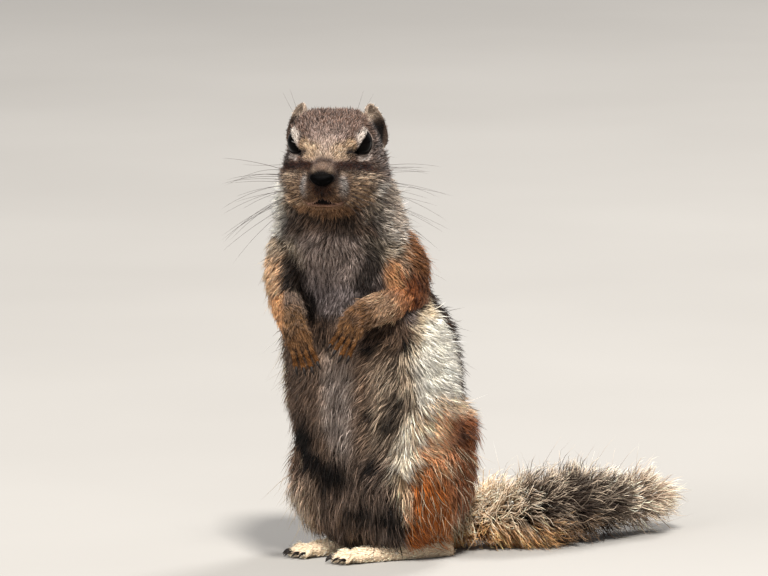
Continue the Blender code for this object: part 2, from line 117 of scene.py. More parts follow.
# x, y, z, coat radius, coat depth
LIMBS = {
    "arm_left": ((1.0, -7.0, 118.0, 12.5, 3.4), (6.5, -10.0, 110.0, 12.0, 3.2),
                 (8.2, -13.0, 102.0, 9.4, 2.8)),
    "forearm_left": ((8.2, -13.0, 102.0, 9.2, 2.8), (-1.0, -24.0, 98.0, 7.6, 2.2),
                     (-9.6, -32.6, 95.2, 5.6, 1.4)),
    "arm_right": ((-32.0, -3.0, 119.0, 12.0, 3.4), (-34.8, -8.0, 108.0, 10.8, 3.2),
                  (-35.3, -12.5, 100.0, 8.8, 2.8)),
    "forearm_right": ((-35.3, -12.5, 100.0, 8.6, 2.8), (-34.6, -24.5, 95.0, 7.0, 2.2),
                      (-32.8, -34.6, 90.8, 5.4, 1.4)),
    "shank_left": ((8.0, -13.0, 40.0, 9.5, 3.5), (15.0, -3.0, 24.0, 7.5, 3.0),
                   (20.6, 7.0, 9.5, 5.6, 1.6)),
    "shank_right": ((-24.0, 6.0, 42.0, 10.5, 3.5), (-12.0, 13.0, 25.0, 8.0, 3.0),
                    (1.0, 22.0, 9.5, 5.6, 1.6)),
}
PELVIS_YAW = 40.0
THIGHS = {"thigh_left": (17.6, 0.0, 35.0), "thigh_right": (-17.8, 18.0, 33.5)}
THIGH_SIZE = (15.0, 22.0, 26.0)
THIGH_DEPTH = 4.6

HANDS = {
    "hand_left": ((-10.4, -33.6, 94.6), (-17.4, -38.0, 81.5)),
    "hand_right": ((-32.2, -36.0, 90.6), (-27.4, -40.0, 76.0)),
}
PALM = 3.8  # from the wrist to the roots of the digits
DIGIT_GAP = 1.98
DIGIT_SPREAD = 0.075
FEET = {
    "foot_left": ((23.0, 6.5), (-12.0, -8.6)),
    "foot_right": ((4.0, 24.5), (-28.0, 5.0)),
}
# share of the way from the heel to the ball, half width, height
FOOT = ((0.0, 3.4, 6.6), (0.18, 3.9, 8.4), (0.55, 4.3, 7.0), (0.9, 5.2, 5.6), (1.0, 4.6, 4.6))

# x, y, z, coat radius, radius of what lies under the coat
TAIL = (
    (2.0, 26.0, 16.0, 7.0, 3.2),
    (12.0, 29.0, 13.5, 8.5, 3.4),
    (25.0, 28.0, 12.0, 12.0, 3.6),
    (44.0, 26.0, 13.0, 17.0, 3.6),
    (62.0, 32.0, 14.0, 19.5, 3.4),
    (79.0, 44.0, 14.0, 19.0, 3.0),
    (92.0, 54.0, 13.5, 16.5, 2.4),
    (101.0, 60.0, 13.0, 12.0, 1.6),
)

# how fine the forms are worked when they are made one skin
SKIN_GRAIN = 1.15
HAND_GRAIN = 0.34
FOOT_GRAIN = 0.5
# the lowest level of the skin, and of the hairs
SKIN_FLOOR = 0.05
HAIR_FLOOR = 0.35


# ---------------------------------------------------------------- small tools
def unit(v):
    """Vectors brought to length one along the last axis."""
    return v / np.maximum(np.linalg.norm(v, axis=-1, keepdims=True), 1e-9)


def turned(yaw):
    """The animal's left and forward when it is turned to its right by yaw degrees."""
    a = np.radians(yaw)
    zero = np.zeros_like(a)
    return (np.stack((np.cos(a), -np.sin(a), zero), -1),
            np.stack((-np.sin(a), -np.cos(a), zero), -1))


def step(x, low, high):
    """Rises smoothly from 0 at low to 1 at high; falls where high is below low."""
    t = np.clip((x - low) / (high - low), 0, 1)
    return t * t * (3 - 2 * t)


def band(x, low, high, soft):
    """One between low and high, fading to nought over soft on either side."""
    return step(x, low - soft, low + soft) * step(x, high + soft, high - soft)


def mixed(first, second, share):
    """The first passing into the second by the share."""
    return first * (1 - share) + second * share


def smooth(rows, count):
    """Rows along a Catmull-Rom curve through the given ones: each point is a cubic blend of four rows."""
    rows = np.array(rows, float)
    wide = np.vstack((2 * rows[0] - rows[1], rows, 2 * rows[-1] - rows[-2]))
    at = np.linspace(0, len(rows) - 1, count)
    i = np.minimum(at.astype(int), len(rows) - 2)
    t = (at - i)[:, None]
    a, b, c, d = wide[i], wide[i + 1], wide[i + 2], wide[i + 3]
    return 0.5 * (2 * b + (c - a) * t + (2 * a - 5 * b + 4 * c - d) * t**2
                  + (3 * b - a - 3 * c + d) * t**3)


def rows_at(place, rows):
    """The row of sizes at each place, read between rows that are given by their first column."""
    return np.stack([np.interp(place, rows[:, 0], column) for column in rows.T], -1)


def blunted(value, power):
    """The value with its size raised to 2/power and its sign kept."""
    return np.sign(value) * np.abs(value) ** (2 / power)


def oval(power, count):
    """Cosine and sine of a turn, each raised to 2/power: a circle at 2, squarer above."""
    t = np.linspace(0, 2 * math.pi, count, endpoint=False)
    return blunted(np.cos(t), power), blunted(np.sin(t), power)


def linear(red, green, blue):
    """A display colour, 0 to 255, as linear light."""
    v = np.array((red, green, blue)) / 255
    return np.where(v < 0.04, v / 12.92, ((v + 0.055) / 1.055) ** 2.4)


def waves(p, size, seed):
    """Soft noise from -1 to 1: the mean of six sine waves of about that size in mixed directions."""
    mix = np.random.default_rng(seed)
    ways = unit(mix.normal(size=(6, 3))) * (2 * math.pi / size) * mix.uniform(0.7, 1.5, (6, 1))
    return np.sin(p @ ways.T + mix.uniform(0, 6.3, 6)).mean(-1) * 1.6


# ---------------------------------------------------------------- the frame of the head
eye_boxes = [[np.array(corner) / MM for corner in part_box(node)] for node in ("eye_left", "eye_right")]
eyes_middle = np.mean(eye_boxes, axis=(0, 1))
head_left, level = turned(np.array(HEAD_YAW))
pitch = math.radians(HEAD_PITCH)
head_forward = level * math.cos(pitch) - np.array((0.0, 0.0, math.sin(pitch)))
HEAD_AXES = np.array((head_left, head_forward, np.cross(head_forward, head_left)))


def in_head(p):
    """Places given as left, forward and up of the head, in the common frame."""
    return HEAD_CENTRE + np.asarray(p, float) @ HEAD_AXES


def to_head(p):
    """Places in the common frame, given as left, forward and up of the head."""
    return (p - HEAD_CENTRE) @ HEAD_AXES.T


ORIGIN = eyes_middle - in_head((0.0, EYES_AHEAD, 0.0))


# the coat may reach this far past the solids: 3 % of each side and a little under 10 mm
solid_low, solid_high = np.array(cad_box) / MM
GROW = 0.03 * (solid_high - solid_low) + 9.6
ROOM = (solid_low - GROW - ORIGIN, solid_high + GROW - ORIGIN)


def within_room(path):
    """Hairs that would reach out of the room are drawn in towards their roots, by one share each."""
    root, tip = path[:, 0], path[:, -1]
    edge = np.where(tip > root, ROOM[1], ROOM[0])
    way = np.where(np.abs(tip - root) < 1e-6, 1e-6, tip - root)
    share = np.clip(((edge - root) / way).min(-1), 0.1, 1.0)
    return root[:, None] + (path - root[:, None]) * share[:, None, None]


# ---------------------------------------------------------------- meshes
def put_points(mesh, points):
    """Points in the solids' own making are put into the mesh, in metres in the frame."""
    mesh.vertices.foreach_set("co", ((points + ORIGIN) * MM).astype(np.float32).ravel())


def points_of(mesh):
    """The mesh's points, back in the solids' own making."""
    p = np.empty(len(mesh.vertices) * 3, np.float32)
    mesh.vertices.foreach_get("co", p)
    return p.reshape(-1, 3).astype(float) / MM - ORIGIN


def softened(mesh):
    """Shaded smooth all over."""
    mesh.polygons.foreach_set("use_smooth", np.ones(len(mesh.polygons), bool))
    return mesh


def mesh_of(name, points, faces):
    """A mesh from an array of points in the common frame and a list of face arrays."""
    mesh = bpy.data.meshes.new(name)
    loops = np.concatenate([f.ravel() for f in faces]).astype(np.int32)
    sizes = np.concatenate([np.full(len(f), f.shape[1]) for f in faces])
    mesh.vertices.add(len(points))
    put_points(mesh, points)
    mesh.loops.add(len(loops))
    mesh.loops.foreach_set("vertex_index", loops)
    mesh.polygons.add(len(sizes))
    starts = np.concatenate(([0], np.cumsum(sizes)[:-1]))
    mesh.polygons.foreach_set("loop_start", starts.astype(np.int32))
    mesh.update(calc_edges=True)
    mesh.validate()
    return softened(mesh)


def closed_grid(rings):
    """Points and faces of a tube of rings, with a middle point closing each end."""
    n, m = rings.shape[:2]
    points = np.vstack((rings.reshape(-1, 3), rings[0].mean(0), rings[-1].mean(0)))
    k, j = np.meshgrid(np.arange(n - 1) * m, np.arange(m), indexing="ij")
    q = (j + 1) % m
    sides = np.stack((k + j, k + q, k + m + q, k + m + j), -1).reshape(-1, 4)
    a = np.arange(m)
    b = (a + 1) % m
    first = np.stack((np.full(m, n * m), b, a), -1)
    last = np.stack((np.full(m, n * m + 1), (n - 1) * m + a, (n - 1) * m + b), -1)
    return points, [sides, first, last]


def tube_mesh(name, rings):
    """A closed grid of rings as a mesh, its faces turned outward."""
    mesh = mesh_of(name, *closed_grid(rings))
    shape = bmesh.new()
    shape.from_mesh(mesh)
    bmesh.ops.recalc_face_normals(shape, faces=shape.faces)
    shape.to_mesh(mesh)
    shape.free()
    return mesh


def placed(data):
    """An object of the same name, at the origin."""
    thing = bpy.data.objects.new(data.name, data)
    bpy.context.scene.collection.objects.link(thing)
    return thing


def joined(name, meshes):
    """Several meshes in one, their faces kept as they are."""
    shape = bmesh.new()
    for mesh in meshes:
        shape.from_mesh(mesh)
    whole = bpy.data.meshes.new(name)
    shape.to_mesh(whole)
    shape.free()
    for mesh in meshes:
        bpy.data.meshes.remove(mesh)
    return softened(whole)


def baked(thing):
    """The mesh that the modifiers give takes the place of the object's own."""
    graph = bpy.context.evaluated_depsgraph_get()
    mesh = bpy.data.meshes.new_from_object(thing.evaluated_get(graph))
    thing.modifiers.clear()
    thing.data = softened(mesh)
    return thing


# ---------------------------------------------------------------- forms of the body
def ringed(path, along, radius, sides):
    """Circles square to a path. The first side is turned along from ring to ring, so it never twists."""
    side = np.cross(along, (0.0, 0.0, 1.0))
    mean = np.abs(unit(along.mean(0)))
    if mean[2] > 0.8:
        side = np.cross(along, (0.0, 1.0, 0.0))
    side = unit(side)
    up = np.cross(side, along)
    c, s = oval(2.0, sides)
    return path[:, None] + radius[:, None, None] * (c[:, None] * side[:, None] + s[:, None] * up[:, None])


def tube_rings(rows, count, sides, caps=6):
    """Circles of given radius along a smooth path, with ends rounded off as half balls."""
    rows = smooth(rows, count)
    path, radius = rows[:, :3], rows[:, 3]
    along = unit(np.gradient(path, axis=0))
    bend = np.radians(np.linspace(84, 0, caps, endpoint=False))
    start = path[0] - along[0] * (radius[0] * np.sin(bend))[:, None]
    end = path[-1] + along[-1] * (radius[-1] * np.sin(bend[::-1]))[:, None]
    path = np.vstack((start, path, end))
    radius = np.concatenate((radius[0] * np.cos(bend), radius, radius[-1] * np.cos(bend[::-1])))
    along = np.vstack((np.repeat(along[:1], caps, 0), along, np.repeat(along[-1:], caps, 0)))
    return ringed(path, along, radius, sides)


def ball_rings(centre, axes, sizes, rows, sides):
    """Circles of latitude of a ball drawn out along three axes."""
    angle = np.radians(np.linspace(-87, 87, rows))[:, None]
    c, s = oval(2.0, sides)
    flat = np.stack((np.cos(angle) * c * sizes[0], np.cos(angle) * s * sizes[1],
                     np.sin(angle) * sizes[2] * np.ones(sides)), -1)
    return np.asarray(centre) + flat @ np.asarray(axes)


def trunk_rows(z):
    """The trunk's row of sizes at each height."""
    return rows_at(z, smooth(TRUNK, 200))


def trunk_rings():
    """Rings up the trunk: at each height an oval of half width, front and back, turned by the yaw."""
    c, s = oval(TRUNK_POWER, 120)
    rows = smooth(TRUNK, 150)[:, :, None]
    left, forward = turned(rows[:, 3])
    deep = np.where(s > 0, rows[:, 5], rows[:, 6])
    middle = np.stack((rows[:, 1], rows[:, 2], rows[:, 0]), -1)
    return (middle + (c * (rows[:, 4] - rows[:, 7]))[..., None] * left
            + (s * (deep - rows[:, 7]))[..., None] * forward)


def trunk_share(p):
    """How far out from the trunk's middle each point is: one on its skin. Also the angle round it."""
    rows = trunk_rows(p[:, 2])
    left, forward = turned(rows[:, 3])
    off = p - np.stack((rows[:, 1], rows[:, 2], p[:, 2]), -1)
    across, ahead = (off * left).sum(-1), (off * forward).sum(-1)
    deep = np.where(ahead > 0, rows[:, 5], rows[:, 6]) - rows[:, 7]
    share = (np.abs(across / (rows[:, 4] - rows[:, 7])) ** TRUNK_POWER
             + np.abs(ahead / deep) ** TRUNK_POWER) ** (1 / TRUNK_POWER)
    over = np.maximum(p[:, 2] - TRUNK[-1][0], 0) + np.maximum(TRUNK[0][0] - p[:, 2], 0)
    return share + over * 0.2, np.degrees(np.arctan2(across, ahead))


def head_share(p):
    """How far out from the head's middle each point is: one on its skin."""
    q = to_head(p)
    row = rows_at(q[:, 1], smooth(HEAD, 160))
    up = q[:, 2] - row[:, 2]
    tall = np.where(up > 0, row[:, 3] - row[:, 6] - row[:, 2], row[:, 2] - row[:, 4] - row[:, 7])
    share = np.abs(up / tall)
    wide = (row[:, 1] - row[:, 5]) * np.where(up > 0, 1 - HEAD_TAPER * np.minimum(share, 1), 1.0)
    over = np.maximum(q[:, 1] - HEAD[-1][0], 0) + np.maximum(HEAD[0][0] - q[:, 1], 0)
    return (np.abs(q[:, 0] / wide) ** HEAD_POWER + share**HEAD_POWER) ** (1 / HEAD_POWER) + over * 0.2


def path_share(p, rows):
    """Distance from each point to a smooth path, as a share of the path's radius; and the way there."""
    rows = smooth(rows, 24)
    gap = np.linalg.norm(p[:, None] - rows[None, :, :3], axis=-1) / rows[:, 3]
    near = gap.argmin(1)
    along = unit(np.gradient(rows[:, :3], axis=0))
    return gap[np.arange(len(p)), near], along[near], near / 23.0


def less_coat(rows):
    """Rows of a limb with the coat's depth taken off the radius."""
    rows = np.array(rows)
    rows[:, 3] -= rows[:, 4]
    return rows[:, :4]


LIMB_SKINS = {name: less_coat(rows) for name, rows in LIMBS.items()}
TAIL_BONE = np.array([(*row[:3], row[4]) for row in TAIL])
pelvis_left, pelvis_forward = turned(np.array(PELVIS_YAW))
PELVIS_AXES = np.array((pelvis_left, pelvis_forward, (0.0, 0.0, 1.0)))
THIGH_SKIN = np.array(THIGH_SIZE) - THIGH_DEPTH


# ---------------------------------------------------------------- the eyes and lids
EYE = np.array((10.5, 1.2, 0.75))
EYEBALL = 5.0
EYE_OUT = unit(np.array((0.84, 0.52, 0.1)))
EYE_AHEAD = unit(np.array((-0.52, 0.84, 0.0)))
EYE_UP = np.cross(EYE_OUT, EYE_AHEAD)
# the opening between the lids, ahead and up on the ball, in millimetres from its middle
LIDS = ((-4.3, 0.4), (-4.2, 2.5), (-3.3, 4.1), (-1.8, 3.8), (0.6, 2.6), (2.7, 1.0), (4.1, -1.0), (5.3, -3.3),
        (4.2, -4.0), (1.8, -3.9), (-0.6, -4.0), (-2.8, -3.6), (-3.9, -1.8))
LID_RIM = 0.45  # how far the lids' rims stand out of the ball


def folded(q):
    """Places of the head brought to its left side."""
    return np.stack((np.abs(q[:, 0]), q[:, 1], q[:, 2]), -1)


def lid_distance(q):
    """How far outside the opening of the lids each point of the head is; less than nothing inside it.

    The direction from the eye's middle is laid out flat, by its angle from the eye's outward line,
    and measured to the closed smooth curve through the points of the opening.
    """
    d = folded(q) - EYE
    r = np.linalg.norm(d, axis=-1)
    d = d / np.maximum(r, 1e-6)[:, None]
    u, v, w = d @ EYE_AHEAD, d @ EYE_UP, d @ EYE_OUT
    flat = np.arccos(np.clip(w, -1, 1)) * EYEBALL / np.maximum(np.hypot(u, v), 1e-6)
    at = np.stack((u * flat, v * flat), -1)
    edge = smooth(np.vstack((LIDS[-1], LIDS, LIDS[0], LIDS[1])), 136)[9:-9]
    a, b = edge, np.roll(edge, -1, 0)
    along = (b - a)[None]
    t = np.clip(((at[:, None] - a) * along).sum(-1) / np.maximum((along**2).sum(-1), 1e-9), 0, 1)
    gap = np.linalg.norm(at[:, None] - a - along * t[..., None], axis=-1).min(1)
    x, y = at[:, :1], at[:, 1:]
    climb = np.where(b[:, 1] == a[:, 1], 1e-9, b[:, 1] - a[:, 1])
    crossing = a[:, 0] + (b[:, 0] - a[:, 0]) * (y - a[:, 1]) / climb
    crossed = ((a[:, 1] > y) != (b[:, 1] > y)) & (x < crossing)
    inside = crossed.sum(1) % 2 == 1
    return np.where(inside, -gap, gap), r, at


def lid_gap(q):
    """As lid_distance, but it also grows with the distance in front of the ball."""
    gap, r, at = lid_distance(q)
    return gap + np.maximum(r - EYEBALL - 1.0, 0) * 1.2, at


def with_lids(q):
    """Draws the skin round each eye on to the ball, with a raised rim, and into it within the opening."""
    near = np.linalg.norm(folded(q) - EYE, axis=-1) < 14
    p = q[near]
    gap, r, at = lid_distance(p)
    flip = np.ones_like(p)
    flip[:, 0] = np.where(p[:, 0] > 0, 1.0, -1.0)
    middle = EYE * flip
    rim = EYEBALL + LID_RIM * step(gap, -0.15, 0.3)
    rim = np.where(gap < 0, EYEBALL - 0.7 * step(gap, 0.1, -0.5), rim)
    far = step(gap, 0.7, 5.0)
    ridge = 0.35 * np.exp(-((gap - 1.5) / 0.9) ** 2) * (at[:, 1] > -2)
    reach = mixed(rim, r, far) + ridge
    out = middle + (p - middle) * (reach / r)[:, None]
    facing = ((p - middle) * EYE_OUT * flip).sum(-1) / r
    hold = step(facing, -0.45, -0.1)[:, None]
    q = q.copy()
    q[near] = mixed(p, out, hold)
    return q


MOUTH = ((-6.6, 17.5, -16.3), (-5.2, 20.0, -16.7), (-2.9, 22.1, -16.9), (0.0, 23.0, -16.8),
         (2.9, 22.1, -16.9), (5.2, 20.0, -16.7), (6.6, 17.5, -16.3))
LIPS = smooth(np.array(MOUTH), 60)
MOUTH_OUT = unit(np.array((0.0, 0.86, -0.5)))


def hill(q, at, wide):
    """A soft round hill, one at its top, on both sides of the face."""
    off = folded(q) - np.array(at)
    return np.exp(-((off / np.array(wide)) ** 2).sum(-1))


def lip_distance(q):
    """How far each point is from the line of the mouth, as seen looking into it, and half the gape."""
    off = q[:, None] - LIPS[None]
    deep = off @ MOUTH_OUT
    gap = np.linalg.norm(off - deep[..., None] * MOUTH_OUT, axis=-1)
    gap = gap + np.maximum(np.abs(deep) - 4.0, 0)
    near = gap.argmin(1)
    return gap[np.arange(len(q)), near], 0.5 + 1.9 * np.exp(-((LIPS[near, 0] / 2.9) ** 2))


# middle, half sizes and height of the soft hills and hollows that model the face
FACE_HILLS = (
    ((11.5, 3.0, 6.5), (4.5, 5, 3), 0.9),  # brow
    ((6.6, 20.0, -12.0), (2.8, 3.6, 3.6), 0.9),  # whisker pad
    ((16.0, -3.0, -12.0), (8, 8, 7), 1.0),  # cheek
    ((8.6, 10.0, -3.5), (2.6, 4.0, 2.6), -1.1),  # before the eye
    ((0.0, 25.0, -3.2), (4.2, 3.2, 2.7), 2.6),  # bridge of the nose
    ((6.4, 23.0, -5.0), (1.7, 3.0, 3.2), -1.4),  # side of the nose
    ((0.0, 18.0, 0.5), (5.0, 2.6, 3.0), -0.8),  # behind the bridge
    ((0.0, 20.5, -19.5), (5.0, 3.5, 1.6), 0.3),  # chin
    ((0.0, 5.0, 9.0), (2.0, 9.0, 4.0), -0.5),  # between the brows
)


def head_points():
    """Rings along the head: a squared oval drawn in towards the crown, then brows, cheeks, pads and lips."""
    around, along = 264, 196
    share = np.linspace(0, 1, along)
    place = np.interp(share, (0, 0.22, 1), (HEAD[0][0], -12.0, HEAD[-1][0]))
    rows = rows_at(place, smooth(HEAD, 400))[:, :, None]
    wide, top, low = rows[:, 1] - rows[:, 5], rows[:, 3] - rows[:, 6], rows[:, 4] + rows[:, 7]
    turn = np.linspace(0, 2 * math.pi, around, endpoint=False)
    back = step(rows[:, 0], 5, -5)
    power = np.where(np.sin(turn) > 0, HEAD_POWER + (CROWN_POWER - HEAD_POWER) * back, HEAD_POWER)
    c, s = blunted(np.cos(turn), power), blunted(np.sin(turn), power)
    taper = HEAD_TAPER + (CROWN_TAPER - HEAD_TAPER) * back
    across = c * wide * (1 - taper * np.maximum(s, 0))
    high = rows[:, 2] + s * np.where(s > 0, top - rows[:, 2], rows[:, 2] - low)
    q = np.stack((across, np.broadcast_to(rows[:, 0], across.shape), high), -1).reshape(-1, 3)
    out = q - np.array((0.0, 0.0, -7.0))
    out[:, 1] = np.maximum(q[:, 1] - 14.0, 0)
    out = unit(out)
    rise = sum(high * hill(q, at, wide) for at, wide, high in FACE_HILLS)
    gap, half = lip_distance(q)
    rise += 0.45 * np.exp(-((gap - half - 0.7) / 0.6) ** 2) - (1.1 + half) * np.exp(-((gap / half) ** 2))
    split = np.abs(q[:, 0]) + 50 * (q[:, 2] > -9) + 50 * (q[:, 2] < -15.6)
    rise -= 0.5 * np.exp(-((split / 0.45) ** 2)) * (q[:, 1] > 18)
    q = q + out * rise[:, None]
    q[:, 0] += 1.0 * step(q[:, 1], 1.0, -7.0) * step(q[:, 2], 6.0, -4.0)  # the cheeks lean a little
    q = with_lids(q)
    return q.reshape(along, around, 3)


EAR_MIDDLE = np.array((14.2, -13.2, 3.3))
EAR_TALL = 8.7
EAR_WIDE = 4.8
EAR_SPLAY = 15.0  # the tops lean in by this much
EAR_TURN = 35.0  # the hollows face this far ahead of straight out


def ear_middle(sign):
    """The middle of an ear; both sit a little to the left of even."""
    return EAR_MIDDLE * (sign, 1, 1) + (0.8, 0.0, 0.0)


def ear_axes(sign):
    """Ahead, up and outward of an ear, in the head's frame: its hollow faces outward and forward."""
    lean, turn = math.radians(EAR_SPLAY), math.radians(EAR_TURN)
    level_out = np.array((sign * math.cos(turn), math.sin(turn), 0.0))
    ahead = np.array((-sign * math.sin(turn), math.cos(turn), 0.0))
    up = np.array((-sign * math.sin(lean), -0.12, math.cos(lean)))
    out = unit(np.cross(ahead, up) * sign)
    return np.array((ahead, unit(up), out * np.sign(out @ level_out)))


def ear_share(q):
    """How far out on the nearer ear each point is, whether in its hollow, how high and how far ahead."""
    rim, cup, up, ahead = np.zeros((4, len(q)))
    for sign in (1.0, -1.0):
        here = np.sign(q[:, 0]) == sign
        at = (q[here] - ear_middle(sign)) @ ear_axes(sign).T
        rim[here] = np.hypot(at[:, 0] / EAR_WIDE, at[:, 1] / EAR_TALL)
        cup[here] = (at[:, 2] > -1.9) * step(at[:, 1] + 0.5 * np.abs(at[:, 0] - 0.5), 4.6, 1.0)
        up[here] = at[:, 1]
        ahead[here] = at[:, 0]
    return rim, cup, up, ahead


def ear_rings(sign):
    """A lens whose outer side is hollow: discs of latitude, bulging inwards and cupped outwards.

    Going from the pole of the back to the pole of the hollow, r is the share of the radius, and the
    depth is that of a flat ball behind, and of a bowl with a rounded rim in front.
    """
    t = np.linspace(0.02, 0.98, 46)[:, None]
    r = np.sin(t * math.pi) ** 0.8
    c, s = oval(2.0, 64)
    back = t < 0.5
    rim = 0.5 * np.exp(-((r - 0.93) / 0.08) ** 2)
    depth = np.where(back, -2.9 * np.sqrt(1 - r**2) ** 1.2 + 0.1, 0.4 - 2.4 * (1 - r**2.5) ** 0.9 + rim)
    ahead = c * (EAR_WIDE - 0.8 * s) * r
    up = s * EAR_TALL * r
    curl = 0.8 * np.exp(-((c - 0.8) / 0.35) ** 2) * r**2 + 0.5 * np.exp(-((c + 0.9) / 0.3) ** 2) * r**2
    flat = np.stack((ahead, up, depth + curl * np.ones_like(r)), -1)
    return in_head(ear_middle(sign) + flat @ ear_axes(sign))


# ---------------------------------------------------------------- hands and feet
def hand_parts(name):
    """Palm and digits as rings, and the rows of each claw, hanging from the wrist to the tips."""
    wrist, tips = (np.array(p) for p in HANDS[name])
    down = unit(tips - wrist)
    out = unit(np.array((0.0, -1.0, 0.0)) + down * down[1])
    across = np.cross(out, down)
    skins = [ball_rings(wrist + down * 3.3, (across, down, out), (4.3, 5.9, 2.8), 24, 32)]
    claws = []
    for i in range(4):
        spread = i - 1.5
        root = wrist + down * PALM + across * spread * DIGIT_GAP
        way = unit(down + across * spread * DIGIT_SPREAD)
        reach = 10.4 - 1.1 * abs(spread - 0.3)
        knuckle = root + way * reach * 0.5 + out * 1.3
        tip = root + way * reach - out * 0.2
        skins.append(tube_rings(((*root, 1.05), (*(root + knuckle) / 2, 0.98), (*knuckle, 1.02),
                                 (*(knuckle + tip) / 2, 0.85), (*tip, 0.8)), 22, 18))
        base = tip + way * 0.5 + out * 0.35
        claws.append(((*base, 0.66), (*(base + way * 1.6 + out * 0.25), 0.5),
                      (*(base + way * 3.0 - out * 0.7), 0.12)))
    return skins, claws


def foot_parts(name):
    """The long foot as ovals from the heel to the ball, its five toes, and the rows of each claw."""
    heel, ball = (np.array((*p, 0.0)) for p in FEET[name])
    way = ball - heel
    length = np.linalg.norm(way)
    way /= length
    side = np.cross(way, (0.0, 0.0, 1.0))
    rows = smooth(FOOT, 40)
    ends = ((-0.085, 0.3), (-0.07, 0.6), (-0.045, 0.85)), ((1.03, 0.85), (1.06, 0.5))
    rows = np.vstack([[(at, rows[0, 1] * k, rows[0, 2] * k) for at, k in ends[0]], rows,
                      [(at, rows[-1, 1] * k, rows[-1, 2] * k) for at, k in ends[1]]])
    c, s = oval(2.3, 48)
    up = np.array((0.0, 0.0, 1.0))
    middle = heel + way * (length * rows[:, :1]) + up * (rows[:, 2:] * 0.42 + 0.05)
    body = (middle[:, None] + (c * (rows[:, 1:2] - 0.5))[..., None] * side
            + (s * (rows[:, 2:] * 0.58 - 0.5))[..., None] * up)
    skins, claws = [body], []
    for i in range(5):
        spread = i - 2
        turn = way + side * spread * 0.09
        reach = 8.0 * (1.0 - 0.16 * abs(spread))
        start = ball + side * spread * 1.95 - way * 1.5 + up * 2.2
        knuckle = start + turn * reach * 0.5 + up * 1.0
        tip = start + turn * reach - up * 0.4
        skins.append(tube_rings(((*start, 1.6), (*knuckle, 1.4), (*(knuckle + tip) / 2, 1.2), (*tip, 1.3)),
                                22, 18))
        base = tip + turn * 0.9 + up * 0.3
        claws.append(((*base, 0.75), (*(base + turn * 1.6 + up * 0.1), 0.5),
                      (*(base + turn * 3.1 - up * 1.0), 0.14)))
    return skins, claws


PAWS = {name: hand_parts(name) for name in HANDS} | {name: foot_parts(name) for name in FEET}


# ---------------------------------------------------------------- one skin
def remeshed(thing, size, passes):
    """One even skin over joined forms, its creases eased."""
    remesh = thing.modifiers.new("blend", "REMESH")
    remesh.mode = "VOXEL"
    remesh.voxel_size = size * MM
    relax = thing.modifiers.new("relax", "SMOOTH")
    relax.factor = 0.5
    relax.iterations = passes
    return baked(thing)


def levelled(mesh, floor):
    """What hangs below the given level is brought up to it."""
    p = points_of(mesh)
    p[:, 2] = np.maximum(p[:, 2], floor)
    put_points(mesh, p)
    mesh.update()


def make_skin():
    """Trunk, limbs, thighs, fills and tail blended; the head, ears and paws are then joined on."""
    rings = [trunk_rings(), tube_rings(TAIL_BONE, 120, 28)]
    rings += [tube_rings(rows, 60, 48) for rows in LIMB_SKINS.values()]
    rings += [ball_rings(centre, PELVIS_AXES, THIGH_SKIN, 70, 72) for centre in THIGHS.values()]
    rings.append(ball_rings(HIP[0], PELVIS_AXES, HIP[1], 50, 60))
    rings += [ball_rings(in_head(middle), HEAD_AXES, sizes, 60, 72) for middle, sizes in FILLS]
    body = placed(joined("skin", [tube_mesh("form", r) for r in rings]))
    remeshed(body, SKIN_GRAIN, 8)
    head = placed(tube_mesh("head_skin", in_head(head_points())))
    adds = [head]
    adds += [placed(tube_mesh("ear_skin", ear_rings(sign))) for sign in (1, -1)]
    for name, (skins, _) in PAWS.items():
        paw = placed(joined(name, [tube_mesh("form", r) for r in skins]))
        remeshed(paw, HAND_GRAIN if name in HANDS else FOOT_GRAIN, 3)
        adds.append(paw)
    for add in adds:
        join = body.modifiers.new("join", "BOOLEAN")
        join.operation = "UNION"
        join.solver = "MANIFOLD"
        join.object = add
    baked(body)
    for add in adds:
        bpy.data.objects.remove(add)
    levelled(body.data, SKIN_FLOOR)
    return body


skin = make_skin()


# ---------------------------------------------------------------- where a point lies on the animal
REGIONS = ("trunk", "head", "arm_left", "forearm_left", "arm_right", "forearm_right", "thigh_left",
           "thigh_right", "shank_left", "shank_right", "hand_left", "hand_right", "foot_left",
           "foot_right", "tail", "ear_left", "ear_right")


